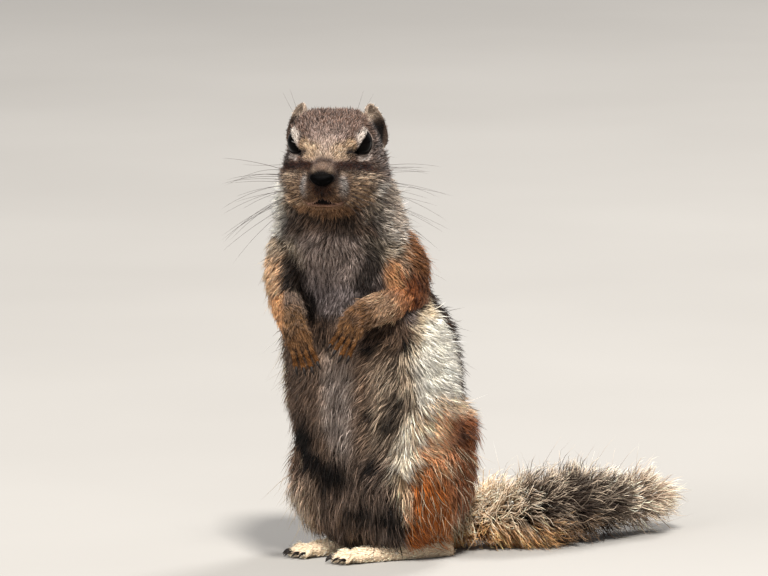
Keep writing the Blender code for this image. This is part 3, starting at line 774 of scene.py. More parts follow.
class Spots:
    """What the lie, length and colour of the coat depend on, for each point of an array."""

    def __init__(self, p):
        self.p = p
        self.x, self.y, self.z = p.T
        self.head = to_head(p)
        trunk, self.angle = trunk_share(p)
        shares = {"trunk": trunk, "head": head_share(p)}
        ways = {}
        self.along = {}
        for name, rows in LIMB_SKINS.items():
            shares[name], ways[name], self.along[name] = path_share(p, rows)
        for name, centre in THIGHS.items():
            shares[name] = np.sqrt((((p - np.array(centre)) @ PELVIS_AXES.T / THIGH_SKIN) ** 2).sum(-1))
        for name, (wrist, tips) in HANDS.items():
            rows = ((*wrist, 3.0), (*(np.array(wrist) + tips) / 2, 4.6), (*tips, 4.6))
            shares[name], ways[name], self.along[name] = path_share(p, rows)
        for name, (heel, ball) in FEET.items():
            ball = np.array(ball) + unit(np.array(ball) - heel) * 9.0
            rows = ((*heel, 3.4, 3.9), ((heel[0] + ball[0]) / 2, (heel[1] + ball[1]) / 2, 3.0, 4.6),
                    (*ball, 2.6, 5.6))
            shares[name], ways[name], self.along[name] = path_share(p, rows)
        tail = TAIL_BONE + np.array((0.0, 0.0, 0.0, 0.4))
        shares["tail"], ways["tail"], self.along["tail"] = path_share(p, tail)
        for name, sign in (("ear_left", 1.0), ("ear_right", -1.0)):
            off = (self.head - ear_middle(sign)) @ ear_axes(sign).T / (EAR_WIDE, EAR_TALL, 3.6)
            shares[name] = np.linalg.norm(off, axis=-1) * 0.8
        table = np.stack([shares[name] for name in REGIONS], -1)
        self.region = table.argmin(-1)
        self.ways, self.shares = ways, shares
        # heights and widths as seen from a little above the level, ahead of the animal
        self.level = self.z + 0.14 * self.y
        self.face_x = np.abs(self.head[:, 0])
        self.face_y = 0.966 * self.head[:, 2] - 0.258 * self.head[:, 1]

    def on(self, *names):
        """One where the point belongs to one of these regions."""
        return np.isin(self.region, [REGIONS.index(name) for name in names]).astype(float)

    def oval(self, x, level, wide, high, soft=0.35):
        """One within an upright oval on the front of the body, fading at its edge."""
        gap = np.hypot((self.x - x) / wide, (self.level - level) / high)
        return step(gap, 1 + soft, 1 - soft) * (self.y < 30)

    def patch(self, x, y, wide, high, soft=0.35):
        """One within an oval on each side of the face, as seen from ahead."""
        gap = np.hypot((self.face_x - x) / wide, (self.face_y - y) / high)
        return step(gap, 1 + soft, 1 - soft) * (self.head[:, 1] > -12)


# ---------------------------------------------------------------- markings
CROWN = linear(100, 77, 65)
FOREHEAD = linear(130, 110, 100)
WHITE = linear(246, 240, 226)
CREAM = linear(226, 206, 176)
BROWN = linear(92, 68, 50)
UMBER = linear(62, 44, 34)
DARK = linear(34, 25, 21)
BLACK = linear(16, 12, 10)
MAUVE = linear(140, 123, 116)
BELLY = linear(124, 101, 83)
PINK = linear(150, 96, 78)


class Coat:
    """Colour, paleness of tips, share of dark hairs and tone of roots, laid on mark by mark."""

    def __init__(self, count):
        self.colour = np.tile(BELLY, (count, 1))
        self.tips = np.full(count, 0.35)
        self.dark = np.full(count, 0.16)
        self.roots = np.full(count, 0.3)

    def mark(self, where, colour, tips, dark, roots=None):
        """Lays one mark over what is there, by its share at each point."""
        where = np.clip(where, 0, 1)
        self.colour = mixed(self.colour, colour, where[:, None])
        self.tips = mixed(self.tips, tips, where)
        self.dark = mixed(self.dark, dark, where)
        if roots is not None:
            self.roots = mixed(self.roots, roots, where)


# level and x of the white flank's front edge, seen from ahead
FLANK_EDGE = np.array(((50.0, 13.0), (56.0, 11.0), (60.0, 9.5), (66.0, 7.5), (72.0, 7.5), (78.5, 10.0),
                       (84.0, 13.0), (90.0, 16.5), (97.0, 19.0), (104.0, 20.5))).T
# level, and the inner and outer x of the cream band in front of the left haunch
CREAM_BAND = np.array(((14.0, 7.5, 9.5), (20.0, 6.0, 9.0), (26.0, 4.0, 9.0), (30.0, 3.0, 9.5),
                       (34.0, 2.5, 11.5), (38.0, 3.0, 13.5), (41.0, 4.0, 15.5), (46.0, 5.5, 17.5),
                       (50.0, 7.5, 18.5), (56.0, 9.5, 20.0))).T
# x, level, half width, half height and strength of the dark places on the belly, mostly painted shade where
# the arms, hands and legs shadow it, and of the painted shade in the armpits
BELLY_SHADES = (
    (-6.1, 80.0, 3.4, 3.8, 1.0), (8.7, 78.7, 3.8, 2.0, 0.9), (3.0, 58.0, 3.6, 3.0, 0.6),
    (-30.5, 43.9, 3.8, 7.0, 1.0), (-21.6, 31.2, 7.0, 5.8, 0.95), (-28.5, 36.0, 5.6, 4.6, 1.0),
    (2.2, 14.4, 6.0, 4.0, 0.9), (-9.0, 16.0, 6.0, 3.4, 0.7), (-5.9, 53.4, 2.2, 3.0, 1.0),
    (-4.4, 34.8, 2.3, 3.6, 1.0), (-18.1, 59.1, 1.0, 1.0, 0.7), (2.5, 51.5, 3.6, 4.6, 0.75),
    (-0.5, 44.0, 3.0, 6.0, 0.35), (-22.5, 85.0, 2.4, 6.0, 0.8), (-27.0, 92.0, 2.0, 7.0, 0.8),
    (-6.0, 100.0, 3.0, 4.0, 0.7),
)
ARMPIT_SHADES = ((-34.8, 107.0, 3.0, 7.5, 0.6), (-3.8, 110.8, 4.6, 8.0, 0.88), (-8.0, 103.0, 3.8, 6.0, 0.85))


def trunk_marks(coat, at):
    """Grey chest, brown belly with a mauve stripe, white flanks, and a brown back with a pale line; painted
    shade under the chin, on the belly round the arms, hands and legs, and on the collar's left side.
    """
    ripple = waves(at.p, 9.0, 3) * 5.0
    angle = at.angle + ripple
    z = at.z + waves(at.p, 7.0, 4) * 1.5
    body = at.on("trunk", "shank_left", "shank_right", "thigh_right", "thigh_left")
    trunk = at.on("trunk")
    side = np.abs(angle)
    coat.mark(trunk * step(side, 92, 112), linear(112, 84, 64), 0.35, 0.25)
    coat.mark(trunk * step(side, 176, 168) * step(side, 150, 158), UMBER, 0.2, 0.45)
    coat.mark(trunk * step(side, 172, 178) * step(z, 30, 50), linear(190, 160, 128), 0.5, 0.1)
    coat.mark(trunk * step(side, 80, 60) * step(z, 84, 96), MAUVE * (1.02, 1.1, 1.18), 0.3, 0.16, 0.42)
    coat.mark(trunk * step(side, 70, 50) * step(z, 102, 110), linear(158, 141, 132), 0.4, 0.16, 0.45)
    rear = 94.0 + np.maximum(94.0 - z, 0) * 0.27
    border = np.interp(at.level, *FLANK_EDGE) + ripple * 0.35
    inside = np.where(angle > 0, step(at.x, border - 1.5, border + 3.5), step(side, 66, 78))
    flank = trunk * inside * step(side, rear + 4, rear - 3) * step(z, 50, 57)
    coat.mark(flank * step(z, 124, 112), WHITE, 0.6, 0.02, 0.85)
    fading = np.where(angle > 0, band(at.x, border - 2.0, border + 3.0, 2.0), band(side, 66, 78, 5))
    coat.mark(trunk * fading * step(z, 50, 57) * step(z, 124, 112), CREAM, 0.7, 0.12, 0.6)
    coat.mark(trunk * band(side, rear, 131, 4) * step(z, 40, 50) * step(z, 128, 118), UMBER, 0.1, 0.6)
    left_belly = band(at.x, -46.0, -24.0, 3.0) * band(at.level, 36.0, 90.0, 8.0) * (at.y < 5)
    coat.mark(trunk * left_belly, linear(104, 84, 70), 0.5, 0.2)
    stripe = band(at.x, -23.0 + step(at.level, 50, 38) * 4.0, -11.5, 3.0)
    stripe = stripe * band(at.level, 36.0, 74.0, 8.0) * (at.y < 0)
    coat.mark(trunk * stripe, linear(168, 152, 142), 0.35, 0.08, 0.45)
    brown = band(at.x, -5.0, 12.0, 5.0) * band(at.level, 38.0, 74.0, 6.0) * (at.y < 5)
    coat.mark(trunk * brown, linear(158, 138, 118), 0.65, 0.22)
    coat.mark(trunk * step(at.level, 44, 30) * (at.y < 20), linear(112, 93, 80), 0.65, 0.32)
    coat.mark(body * step(at.level, 16, 8) * (at.y < 30) * (at.x < 22), linear(92, 76, 66), 0.6, 0.35)
    # painted shade on the belly to the right of the hands
    coat.mark(trunk * at.oval(3.0, 81.5, 9.0, 5.0, 0.4), linear(96, 76, 58), 0.4, 0.3)
    # painted shade on the belly under the hands and arms, between the legs and on its shaded lower left
    for *place, share in BELLY_SHADES:
        coat.mark(body * at.oval(*place, 0.45) * share, DARK, 0.25, 0.6)
    # painted shade on the trunk close behind the arms
    reach = np.min([at.shares[name] for name in LIMB_SKINS if "arm" in name], axis=0)
    shade_behind_arm = trunk * step(reach, 1.6, 1.15) * (side < 75) * step(z, 116, 108)
    coat.mark(shade_behind_arm * 0.9, linear(64, 52, 46), 0.25, 0.4)
    shoulder = trunk * band(side, 38, 84, 12) * step(z, 108, 116)
    coat.mark(shoulder, linear(176, 160, 140), 0.6, 0.25, 0.45)
    # painted shade under the chin, in the middle of the throat
    coat.mark(trunk * at.oval(-1.5, 124.0, 5.0, 5.0, 0.5), linear(90, 74, 64), 0.5, 0.4)
    coat.mark(trunk * at.oval(-36.0, 124.5, 4.0, 5.0, 0.5), linear(84, 72, 66), 0.5, 0.4)
    # painted shade in the armpits
    for *place, share in ARMPIT_SHADES:
        coat.mark(trunk * at.oval(*place, 0.6) * share, linear(52, 43, 38), 0.32, 0.38)
    waist = trunk * band(at.level, 80.0, 90.0, 3.0) * (side < 60)
    coat.mark(waist * 0.85, linear(100, 78, 63), 0.35, 0.3)
    coat.mark(trunk * at.oval(4.6, 106.0, 4.4, 6.0, 0.4), linear(196, 142, 98), 0.8, 0.1, 0.5)
    # the top of the neck's front darker: painted shade under the chin
    coat.mark(trunk * step(z, 121, 127) * step(side, 60, 30), linear(100, 80, 66), 0.5, 0.35)
    collar = trunk * step(z, 118, 126) * band(side, 62, 116, 12)
    coat.mark(collar, linear(246, 240, 228), 0.7, 0.1, 0.75)
    # greyer and darker on the animal's left side: painted shade on the side away from the light
    coat.mark(collar * (angle > 0), linear(174, 158, 143), 0.75, 0.24, 0.5)
    coat.mark(collar * (angle > 0) * step(at.x, 2.5, -0.5), linear(100, 83, 70), 0.6, 0.36, 0.4)


def leg_marks(coat, at):
    """Russet haunches, orange low down, with a cream band in front and a grey-brown edge behind."""
    across = at.x + waves(at.p, 6.0, 8) * 1.6
    thigh = at.on("thigh_left")
    rump = at.on("thigh_left", "trunk") * (at.angle > 20) * (at.angle < 128)
    top = np.clip(44.0 + (across - 12.0) * 1.4, 36.0, 55.5)
    haunch = rump * step(at.level, top + 3.0, top - 3.0) * step(across, 7.5, 11.0)
    haunch = np.maximum(haunch, thigh * step(across, 7.5, 11.0))
    coat.mark(thigh, linear(124, 100, 82), 0.5, 0.25)
    coat.mark(haunch, linear(236, 184, 142), 0.75, 0.06, 0.5)
    coat.mark(haunch * step(across, 18, 25) * 0.7, linear(218, 148, 106), 0.6, 0.1)
    coat.mark(haunch * step(across, 20, 29) * step(at.level, 58, 51), linear(126, 76, 46), 0.4, 0.18)
    lower = haunch * step(at.level, 44, 34) * step(across, 26, 19)
    coat.mark(lower, linear(186, 124, 82), 0.55, 0.1, 0.5)
    lowest = haunch * step(at.level, 35, 25) * step(across, 28, 22)
    coat.mark(lowest, linear(172, 96, 36), 0.22, 0.1, 0.45)
    coat.mark(thigh * step(at.y, 6, 18), linear(112, 80, 60), 0.35, 0.25)
    coat.mark(at.on("shank_left", "shank_right"), linear(112, 88, 70), 0.45, 0.25)
    coat.mark(at.on("shank_left") * step(at.x, 9, 12), linear(168, 112, 68), 0.4, 0.1)
    levels, *sides = CREAM_BAND
    inner, outer = (np.interp(at.level, levels, side) for side in sides)
    cream = band(across, inner, outer, 3.0) * band(at.level, 16.0, 54.0, 3.0) * step(at.y, 15, 10)
    cream = at.on("thigh_left", "trunk", "shank_left") * cream
    coat.mark(cream, linear(248, 232, 208), 0.75, 0.08, 0.75)
    coat.mark(cream * step(at.level, 34, 24), linear(212, 174, 134), 0.7, 0.1, 0.6)
    over = rump * band(at.level, top - 1.0, top + 5.0, 2.5) * step(across, 9, 12)
    coat.mark(over, linear(226, 192, 158), 0.8, 0.12, 0.6)
    other = at.on("thigh_right")
    coat.mark(other, linear(124, 96, 76), 0.5, 0.25)
    coat.mark(other * step(at.y, 20, 26) * step(at.level, 48, 38), linear(140, 98, 70), 0.4, 0.15)
    coat.mark(other * step(at.y, 14, 4), linear(128, 106, 92), 0.65, 0.25)
    fringe = at.on("trunk", "thigh_right") * step(at.x, -22, -28) * step(at.level, 33, 26)
    coat.mark(fringe, linear(186, 158, 136), 1.0, 0.3)
    coat.mark(at.on("foot_left", "foot_right"), linear(246, 220, 188), 0.3, 0.05, 0.6)


def arm_marks(coat, at):
    """Orange-tan arms, cream on the inner shoulder and dark russet on the outer, with ochre hands; painted
    shade on the right arm's side towards the chest and between the digits.
    """
    left, right = at.on("arm_left"), at.on("arm_right")
    shift = waves(at.p, 5.0, 12) * 1.5
    level = at.level + shift
    coat.mark(left, linear(160, 132, 108), 0.7, 0.2, 0.4)
    coat.mark(left * step(at.x + shift, 8, 12), linear(148, 98, 60), 0.45, 0.25)
    coat.mark(left * step(level, 110, 103) * step(at.x, 6, 12), linear(106, 68, 44), 0.4, 0.2)
    coat.mark(left * step(level, 112, 104) * step(at.x, 11, 5), linear(166, 108, 66), 0.75, 0.12, 0.4)
    elbow = left * band(at.x, 6.0, 14.0, 2.5) * step(level, 108, 103)
    coat.mark(elbow, linear(118, 66, 34), 0.35, 0.12, 0.4)
    coat.mark(left * step(level, 93, 90), linear(220, 190, 156), 0.5, 0.04, 0.5)
    coat.mark(right, linear(160, 142, 122), 0.7, 0.22, 0.45)
    outer = right * step(at.x + shift, -36, -40) * step(level, 116, 108)
    coat.mark(outer, linear(214, 168, 130), 0.65, 0.1, 0.5)
    # painted shade on the right arm's side towards the chest
    inner = right * step(at.x, -40.0, -36.5) * band(level, 98, 113, 3)
    coat.mark(inner, linear(62, 50, 42), 0.45, 0.4)
    fore_left, fore_right = at.on("forearm_left"), at.on("forearm_right")
    along = at.along["forearm_left"]
    coat.mark(fore_left, linear(156, 124, 96), 0.8, 0.14, 0.45)
    coat.mark(fore_left * step(along, 0.55, 0.2), linear(166, 106, 64), 0.75, 0.12, 0.45)
    coat.mark(fore_left * step(along, 0.65, 1.0), linear(108, 76, 48), 0.55, 0.15, 0.4)
    under = step(at.z, 93.5, 90.5) * step(along, 0.7, 0.45)
    coat.mark(fore_left * under, linear(198, 166, 130), 0.4, 0.03, 0.5)
    coat.mark(fore_right, linear(118, 98, 84), 0.85, 0.25, 0.4)
    along = at.along["forearm_right"]
    coat.mark(fore_right * step(along, 0.3, 0.8), linear(108, 78, 50), 0.6, 0.2, 0.4)
    coat.mark(fore_right * step(at.x, -36.0, -38.5), linear(178, 128, 86), 0.7, 0.1, 0.5)
    for name, (wrist, tips) in HANDS.items():
        hand = at.on(name)
        down = unit(np.array(tips) - wrist)
        across = unit(np.cross((0.0, -1.0, 0.0), down))
        far = (at.p - wrist) @ down
        apart = DIGIT_GAP + DIGIT_SPREAD * np.maximum(far - PALM, 0)
        digit = (at.p - wrist) @ across / apart + 0.5
        # painted shade in the gaps between the digits
        between = step(np.abs(digit - np.round(digit)), 0.24, 0.42) * step(far, 3.5, 7.0)
        coat.mark(hand, linear(116, 81, 49), 0.45, 0.14, 0.4)
        coat.mark(hand * step(far, 6.0, 10.0), linear(110, 70, 32), 0.35, 0.12, 0.35)
        coat.mark(hand * between, linear(30, 19, 12), 0.0, 0.1)


def tail_marks(coat, at):
    """Dark in the middle of each hair with pale ends, and tan near the rump and underneath."""
    tail = at.on("tail")
    along = at.along["tail"]
    coat.mark(tail, linear(44, 31, 24), 1.0, 0.1, 0.8)
    coat.mark(tail * step(along, 0.7, 0.95), linear(140, 118, 100), 1.0, 0.1, 0.8)
    coat.mark(tail * step(along, 0.5, 0.38), linear(226, 194, 158), 0.8, 0.1, 0.65)
    coat.mark(tail * step(at.z, 12.5, 10.5) * step(along, 0.7, 0.5), linear(186, 140, 98), 0.8, 0.1, 0.5)


def face_marks(coat, at):
    """Grizzled crown, pale brow over a dark eye line, white under the eye, tan cheeks, whiskered muzzle;
    painted shade under the nose, the chin and the right cheek and in the ears' hollows, painted highlights
    on the forehead and the nose's dome, and a whiter ruff on the right side, where the light falls.
    """
    head = at.on("head", "ear_left", "ear_right")
    x, y, s = at.face_x, at.face_y, at.head[:, 1]
    gap, flat = lid_gap(at.head)
    ripple = waves(at.p, 3.0, 21)
    coat.mark(head, CROWN, 0.75, 0.3, 0.4)
    coat.mark(head * step(y, 9, 3) * step(x, 10, 5) * (s > 0), FOREHEAD, 0.75, 0.2)
    # lighter middle of the forehead: painted highlight
    coat.mark(at.patch(0.0, -1.5, 3.6, 4.0, 0.6) * head, linear(158, 136, 122), 0.9, 0.25)
    cheek = head * step(y + ripple * 0.6, -7.0, -9.5)
    coat.mark(cheek, linear(182, 158, 134), 0.55, 0.2)
    coat.mark(cheek * step(y, -11, -16) * step(x, 18, 14), linear(192, 158, 126), 0.5, 0.18, 0.45)
    arcs = step(np.sin(np.arctan2(y + 13.5, x - 4.0) * 30.0 + ripple * 1.2), 0.45, 0.95)
    coat.mark(cheek * arcs * step(x, 7, 10) * 0.6, linear(90, 68, 50), 0.3, 0.4)
    coat.mark(head * step(s, 4, -4) * step(y, 6, 1) * step(x, 11, 14), linear(91, 77, 70), 0.7, 0.3)
    coat.mark(at.patch(8.6, -1.0, 2.2, 3.2) * head * (gap > 0.3), linear(148, 122, 96), 0.8, 0.2)
    coat.mark(at.patch(5.6, -3.0, 3.8, 3.4, 0.5) * head, linear(164, 138, 112), 0.85, 0.2)
    coat.mark(at.patch(0.0, -4.4, 3.0, 2.0, 0.6) * head, linear(172, 149, 129), 0.8, 0.16)
    coat.mark(at.patch(6.6, -8.3, 3.2, 1.7) * head, linear(58, 34, 20), 0.15, 0.3)
    streak = band(y + (x - 11.0) ** 2 * 0.01 + ripple * 0.5, -10.0, -6.7, 0.7) * band(x, 4.2, 18.0, 1.2)
    coat.mark(head * streak * (s > -8), linear(48, 20, 4), 0.0, 0.3)
    coat.mark(at.patch(8.0, -10.4, 4.6, 1.6, 0.6) * head * (s > 5) * 0.7, linear(74, 52, 38), 0.25, 0.3)
    rim = head * step(gap, 4.8, 1.4) * step(flat[:, 1], -3.4, -1.2) * step(flat[:, 0], 5.4, 3.2)
    rim = rim * step(flat[:, 1], 6.6, 4.4)
    coat.mark(rim, linear(184, 171, 160), 0.75, 0.16, 0.55)
    coat.mark(rim * step(flat[:, 0], -2.4, -4.0) * step(gap, 0.7, 1.4), linear(118, 102, 92), 0.6, 0.2)
    below = head * step(gap, 3.8, 2.6) * step(flat[:, 1], -3.0, -3.8) * step(flat[:, 0], 4.2, 2.8)
    coat.mark(below, linear(170, 154, 144), 0.8, 0.12, 0.6)
    coat.mark(head * step(gap, 0.6, 0.3), BLACK, 0.0, 0.0)
    duct = head * np.exp(-(((x - 8.6) / 1.3) ** 2 + ((y + 3.0) / 1.0) ** 2)) * (s > 3)
    coat.mark(duct * 1.4, linear(38, 27, 22), 0.0, 0.1)
    muzzle = head * step(s, 13, 17)
    coat.mark(muzzle * step(y, -10.2, -12.2), linear(134, 104, 80), 0.45, 0.25)
    coat.mark(muzzle * step(y, -18, -20) * step(x, 8.5, 6.0), linear(104, 76, 54), 0.3, 0.2)
    pads = at.patch(7.0, -15.6, 2.4, 3.7, 0.6) * head * band(s, 17.5, 23.5, 2.5)
    coat.mark(pads, linear(166, 158, 152), 1.0, 0.45, 0.5)
    # painted shadow of the nose on the lip below it
    coat.mark(at.patch(0.0, -17.2, 5.0, 3.0, 0.4) * muzzle, linear(50, 27, 10), 0.2, 0.2)
    coat.mark(at.patch(4.9, -12.5, 1.5, 4.4, 0.8) * muzzle, linear(54, 37, 27), 0.15, 0.2)
    coat.mark(at.patch(0.0, -8.0, 3.8, 3.2, 0.4) * muzzle, linear(66, 50, 42), 0.3, 0.15, 0.6)
    # paler grey fur on top of the nose's dome, lightened further as a painted highlight
    coat.mark(at.patch(0.0, -8.4, 2.2, 1.6, 0.8) * muzzle, linear(104, 84, 70), 0.4, 0.1, 0.6)
    coat.mark(at.patch(0.0, -13.0, 4.9, 3.0, 0.3) * head * (s > 22), linear(13, 9, 8), 0.0, 0.0)
    coat.mark(head * step(y, -22.4, -23.6) * (s > 2), linear(142, 106, 76), 0.45, 0.15)
    # darker grey-brown under the chin, partly painted shade
    coat.mark(head * step(y, -27, -31) * (s > -12), linear(104, 84, 70), 0.45, 0.35)
    # painted shade under the right cheek
    under_cheek_shade = at.patch(12.5, -24.0, 3.0, 2.5, 0.6) * head * (at.head[:, 0] > 0)
    coat.mark(under_cheek_shade * 0.7, linear(74, 54, 40), 0.3, 0.4)
    mouth, half = lip_distance(at.head)
    out = mouth - half
    coat.mark(head * step(out, 2.2, 1.4) * step(y, -22.0, -23.0), linear(144, 108, 80), 0.3, 0.05)
    coat.mark(head * step(out, 1.0, 0.5) * step(y, -21.0, -21.8), linear(166, 128, 108), 0.1, 0.0)
    coat.mark(head * step(out, 0.3, 0.0) * step(x, 5.5, 3.5), PINK * 0.5, 0.1, 0.0)
    coat.mark(head * step(out, 0.15, -0.15), linear(16, 7, 6), 0.0, 0.0)
    ruff = head * step(x, 16.5, 19.5) * step(y, -12, -17)
    coat.mark(ruff, linear(224, 214, 202), 0.7, 0.2, 0.55)
    # whiter on the animal's right side: painted light on the side the light falls on
    coat.mark(ruff * (at.head[:, 0] < 0) * step(y, -14, -18), linear(236, 228, 216), 0.7, 0.1, 0.6)
    coat.mark(head * step(s, -14, -20) * step(y, 4, -4), BROWN, 0.35, 0.25)
    ear = at.on("ear_left", "ear_right")
    rim, cup, up, ahead = ear_share(at.head)
    coat.mark(ear, linear(120, 104, 92), 0.8, 0.25)
    coat.mark(ear * band(rim, 0.84, 1.3, 0.05), linear(150, 134, 118), 0.7, 0.15)
    coat.mark(ear * step(up, 1.0, 4.0), linear(168, 148, 130), 0.9, 0.25, 0.6)
    coat.mark(ear * step(ahead, -1.5, -3.0) * step(up, 4.0, 1.0), linear(84, 68, 58), 0.4, 0.3)
    # the ear's hollow nearly black: painted shade
    coat.mark(ear * step(rim, 0.99, 0.86) * cup, linear(18, 11, 9), 0.03, 0.3)


def markings(at):
    """All the marks in turn, with a soft unevenness of tone from waves over the whole."""
    coat = Coat(len(at.p))
    for marks in (trunk_marks, leg_marks, arm_marks, tail_marks, face_marks):
        marks(coat, at)
    shade = 1 + 0.10 * waves(at.p, 6.0, 31) + 0.08 * waves(at.p, 2.0, 32)
    coat.colour = np.clip(coat.colour * shade[:, None], 0, 1)
    return coat


# ---------------------------------------------------------------- lie and length of the coat
def lie(at, normals):
    """The way the hairs point at each place, along the skin."""
    flat = unit(np.stack((-normals[:, 1], normals[:, 0], np.zeros(len(normals))), -1))
    down = np.tile((0.0, 0.0, -1.0), (len(at.p), 1))
    side = at.angle
    drift = np.where(side > 0, step(side, 46, 60) * 1.1, 0.0) * step(side, 150, 110)
    drift -= band(at.x, -10.0, 10.0, 5.0) * band(at.level, 34.0, 88.0, 8.0) * (at.y < 8) * 0.8
    drift -= step(side, -50, -70) * step(side, -150, -110) * 0.6
    drift -= band(at.x, -44.0, -22.0, 3.0) * band(at.level, 20.0, 80.0, 6.0) * (at.y < 5) * 0.3
    drift += step(at.z, 112, 124) * np.clip((at.x + 17.0) / 16.0, -1.4, 1.4) * (np.abs(side) < 100)
    way = down + flat * drift[:, None]
    head = at.on("head", "ear_left", "ear_right")[:, None]
    from_nose = unit(at.head - np.array((0.0, 30.0, -8.0)))
    from_nose = from_nose + (at.head[:, 1:2] < 2) * np.array((0.0, -0.3, -0.25))
    way = mixed(way, from_nose @ HEAD_AXES, head)
    for name in at.ways:
        here = at.on(name)[:, None]
        limb = at.ways[name] + down * (0.35 if "arm" in name else 0.0)
        if name == "arm_left":
            turn = step(at.along[name], 0.5, 1.0)[:, None]
            limb = mixed(limb + flat * 0.7, at.ways["forearm_left"] + down * 0.5, turn)
        if name == "arm_right":
            limb = limb - flat * 0.7
        way = mixed(way, limb, here)
    back = (0.42 * step(at.x, 8, 14) - 0.2)[:, None]
    return mixed(way, down + flat * back, at.on("thigh_left")[:, None])


def lengths(at):
    """Length, lift in degrees and width of the hairs, and how far they clump, at each place."""
    count = len(at.p)
    long, lift = np.full(count, 11.0), np.full(count, 24.0)
    wide, clump = np.full(count, 0.34), np.full(count, 0.45)

    def put(where, new_long, new_lift, new_wide, new_clump):
        for old, new in ((long, new_long), (lift, new_lift), (wide, new_wide), (clump, new_clump)):
            old += (new - old) * np.clip(where, 0, 1)

    trunk, side = at.on("trunk"), np.abs(at.angle)
    put(trunk * step(at.z, 84, 96), 5.6, 20, 0.27, 0.3)
    put(trunk * step(side, 90, 115), 9.0, 20, 0.38, 0.4)
    edge = at.on("trunk", "thigh_left") * band(at.angle, 70, 125, 12) * (at.z < 96)
    put(edge * step(at.level, 40, 46), 10.6, 30, 0.36, 0.45)
    put(edge * band(at.level, 42, 60, 4), 11.5, 34, 0.36, 0.5)
    put(trunk * step(at.z, 108, 118), 6.2, 30, 0.3, 0.4)
    put(trunk * step(at.z, 120, 126) * band(side, 55, 115, 15), 8.4, 42, 0.32, 0.4)
    put(trunk * step(at.level, 34, 18) * (at.y < 20), 13.0, 30, 0.42, 0.6)
    put(at.on("thigh_left", "thigh_right"), 12.0, 20, 0.38, 0.45)
    fringe = at.on("trunk", "thigh_right") * step(at.x, -19, -25) * step(at.level, 40, 30)
    put(fringe * (at.y < 26), 15.0, 36, 0.42, 0.6)
    put(at.on("shank_left", "shank_right"), 8.0, 22, 0.36, 0.45)
    put(at.on("arm_left", "arm_right"), 7.2, 22, 0.3, 0.5)
    put(at.on("forearm_left", "forearm_right"), 5.6, 17, 0.27, 0.45)
    for name in HANDS:
        put(at.on(name), 3.4 - 1.7 * step(at.along[name], 0.2, 0.6), 17, 0.19, 0.3)
    put(at.on("foot_left", "foot_right"), 2.1, 16, 0.22, 0.2)
    head = at.on("head")
    s, y = at.head[:, 1], at.face_y
    put(head, 3.4, 18, 0.24, 0.25)
    put(head * step(s, 0, 10), 2.5, 18, 0.19, 0.16)
    put(head * step(s, 12, 20), 1.6, 24, 0.18, 0.12)
    put(head * (s > 21) * step(y, -16, -14) * step(np.abs(at.head[:, 0]), 6, 4), 0.9, 16, 0.16, 0.1)
    put(head * step(y, 2, -4) * step(s, 3, -5), 4.6, 26, 0.25, 0.3)
    put(head * step(y, -8, -15) * step(s, 6, -4), 7.4, 36, 0.28, 0.4)
    put(head * step(y, -22, -27), 4.8, 30, 0.26, 0.35)
    put(at.on("ear_left", "ear_right"), 1.4, 26, 0.2, 0.2)
    tail = at.on("tail")
    along = at.along["tail"]
    brush = 10.0 + 12.0 * step(along, 0.1, 0.36) + 3.6 * band(along, 0.38, 0.7, 0.06)
    brush += 1.5 * np.exp(-(((along - 0.88) / 0.05) ** 2))
    brush -= 2.5 * np.exp(-(((along - 0.775) / 0.035) ** 2))
    put(tail, brush, 76 - 14 * step(along, 0.5, 0.75) - 30 * step(along, 0.8, 1.0), 0.33, 0.6)
    put(tail * step(along, 0.2, 0.05), 10.0, 40, 0.3, 0.5)
    gap, _ = lid_gap(at.head)
    near = head * (gap < 4)
    long *= 1 - near * (1 - np.clip(0.35 + gap * 0.18, 0.35, 1))
    return long, lift, wide, clump


# ---------------------------------------------------------------- sampling the skin
def skin_triangles():
    """The skin's points, the normal at each, and its triangles."""
    mesh = skin.data
    mesh.calc_loop_triangles()
    corners = np.empty(len(mesh.loop_triangles) * 3, np.int32)
    mesh.loop_triangles.foreach_get("vertices", corners)
    normals = np.empty(len(mesh.vertices) * 3, np.float32)
    mesh.vertex_normals.foreach_get("vector", normals)
    return points_of(mesh), normals.reshape(-1, 3).astype(float), corners.reshape(-1, 3)


SKIN_POINTS, SKIN_NORMALS, SKIN_FACES = skin_triangles()
FACE_SPOTS = Spots(SKIN_POINTS[SKIN_FACES].mean(1))
SKIN_SPOTS = Spots(SKIN_POINTS)


# tufts to the square millimetre on each part, left and right alike
DENSITY = {"trunk": 3.9, "head": 5.5, "ear": 7.0, "arm": 4.4, "forearm": 5.4, "hand": 7.5, "foot": 3.4,
           "tail": 5.0, "shank": 3.6, "thigh": 4.2}
FACE_DENSITY = 10.0
BACK_DENSITY = 2.4
TAIL_TIP_DENSITY = 9.0


def density(at):
    """Tufts to the square millimetre at each place; none on the eyes, lips, nose and soles."""
    thick = np.array([DENSITY[name.split("_")[0]] for name in REGIONS])[at.region]
    head, trunk = at.on("head") > 0, at.on("trunk") > 0
    thick = np.where(head & (at.head[:, 1] > 2), FACE_DENSITY, thick)
    thick = np.where(trunk & (np.abs(at.angle) > 115), BACK_DENSITY, thick)
    thick = np.where(trunk & (at.z > 84), thick * 1.15, thick)
    thick = np.where((at.on("tail") > 0) & (at.along["tail"] > 0.9), TAIL_TIP_DENSITY, thick)
    gap, _ = lid_gap(at.head)
    mouth, half = lip_distance(at.head)
    nose = np.linalg.norm((at.head - (0.0, 26.0, -7.0)) / (4.3, 3.4, 2.3), axis=-1)
    bare = (head & (gap < 0.6)) | (mouth < half + 0.35) | (nose < 1.0) | (at.z < HAIR_FLOOR)
    return np.where(bare, 0.0, thick)


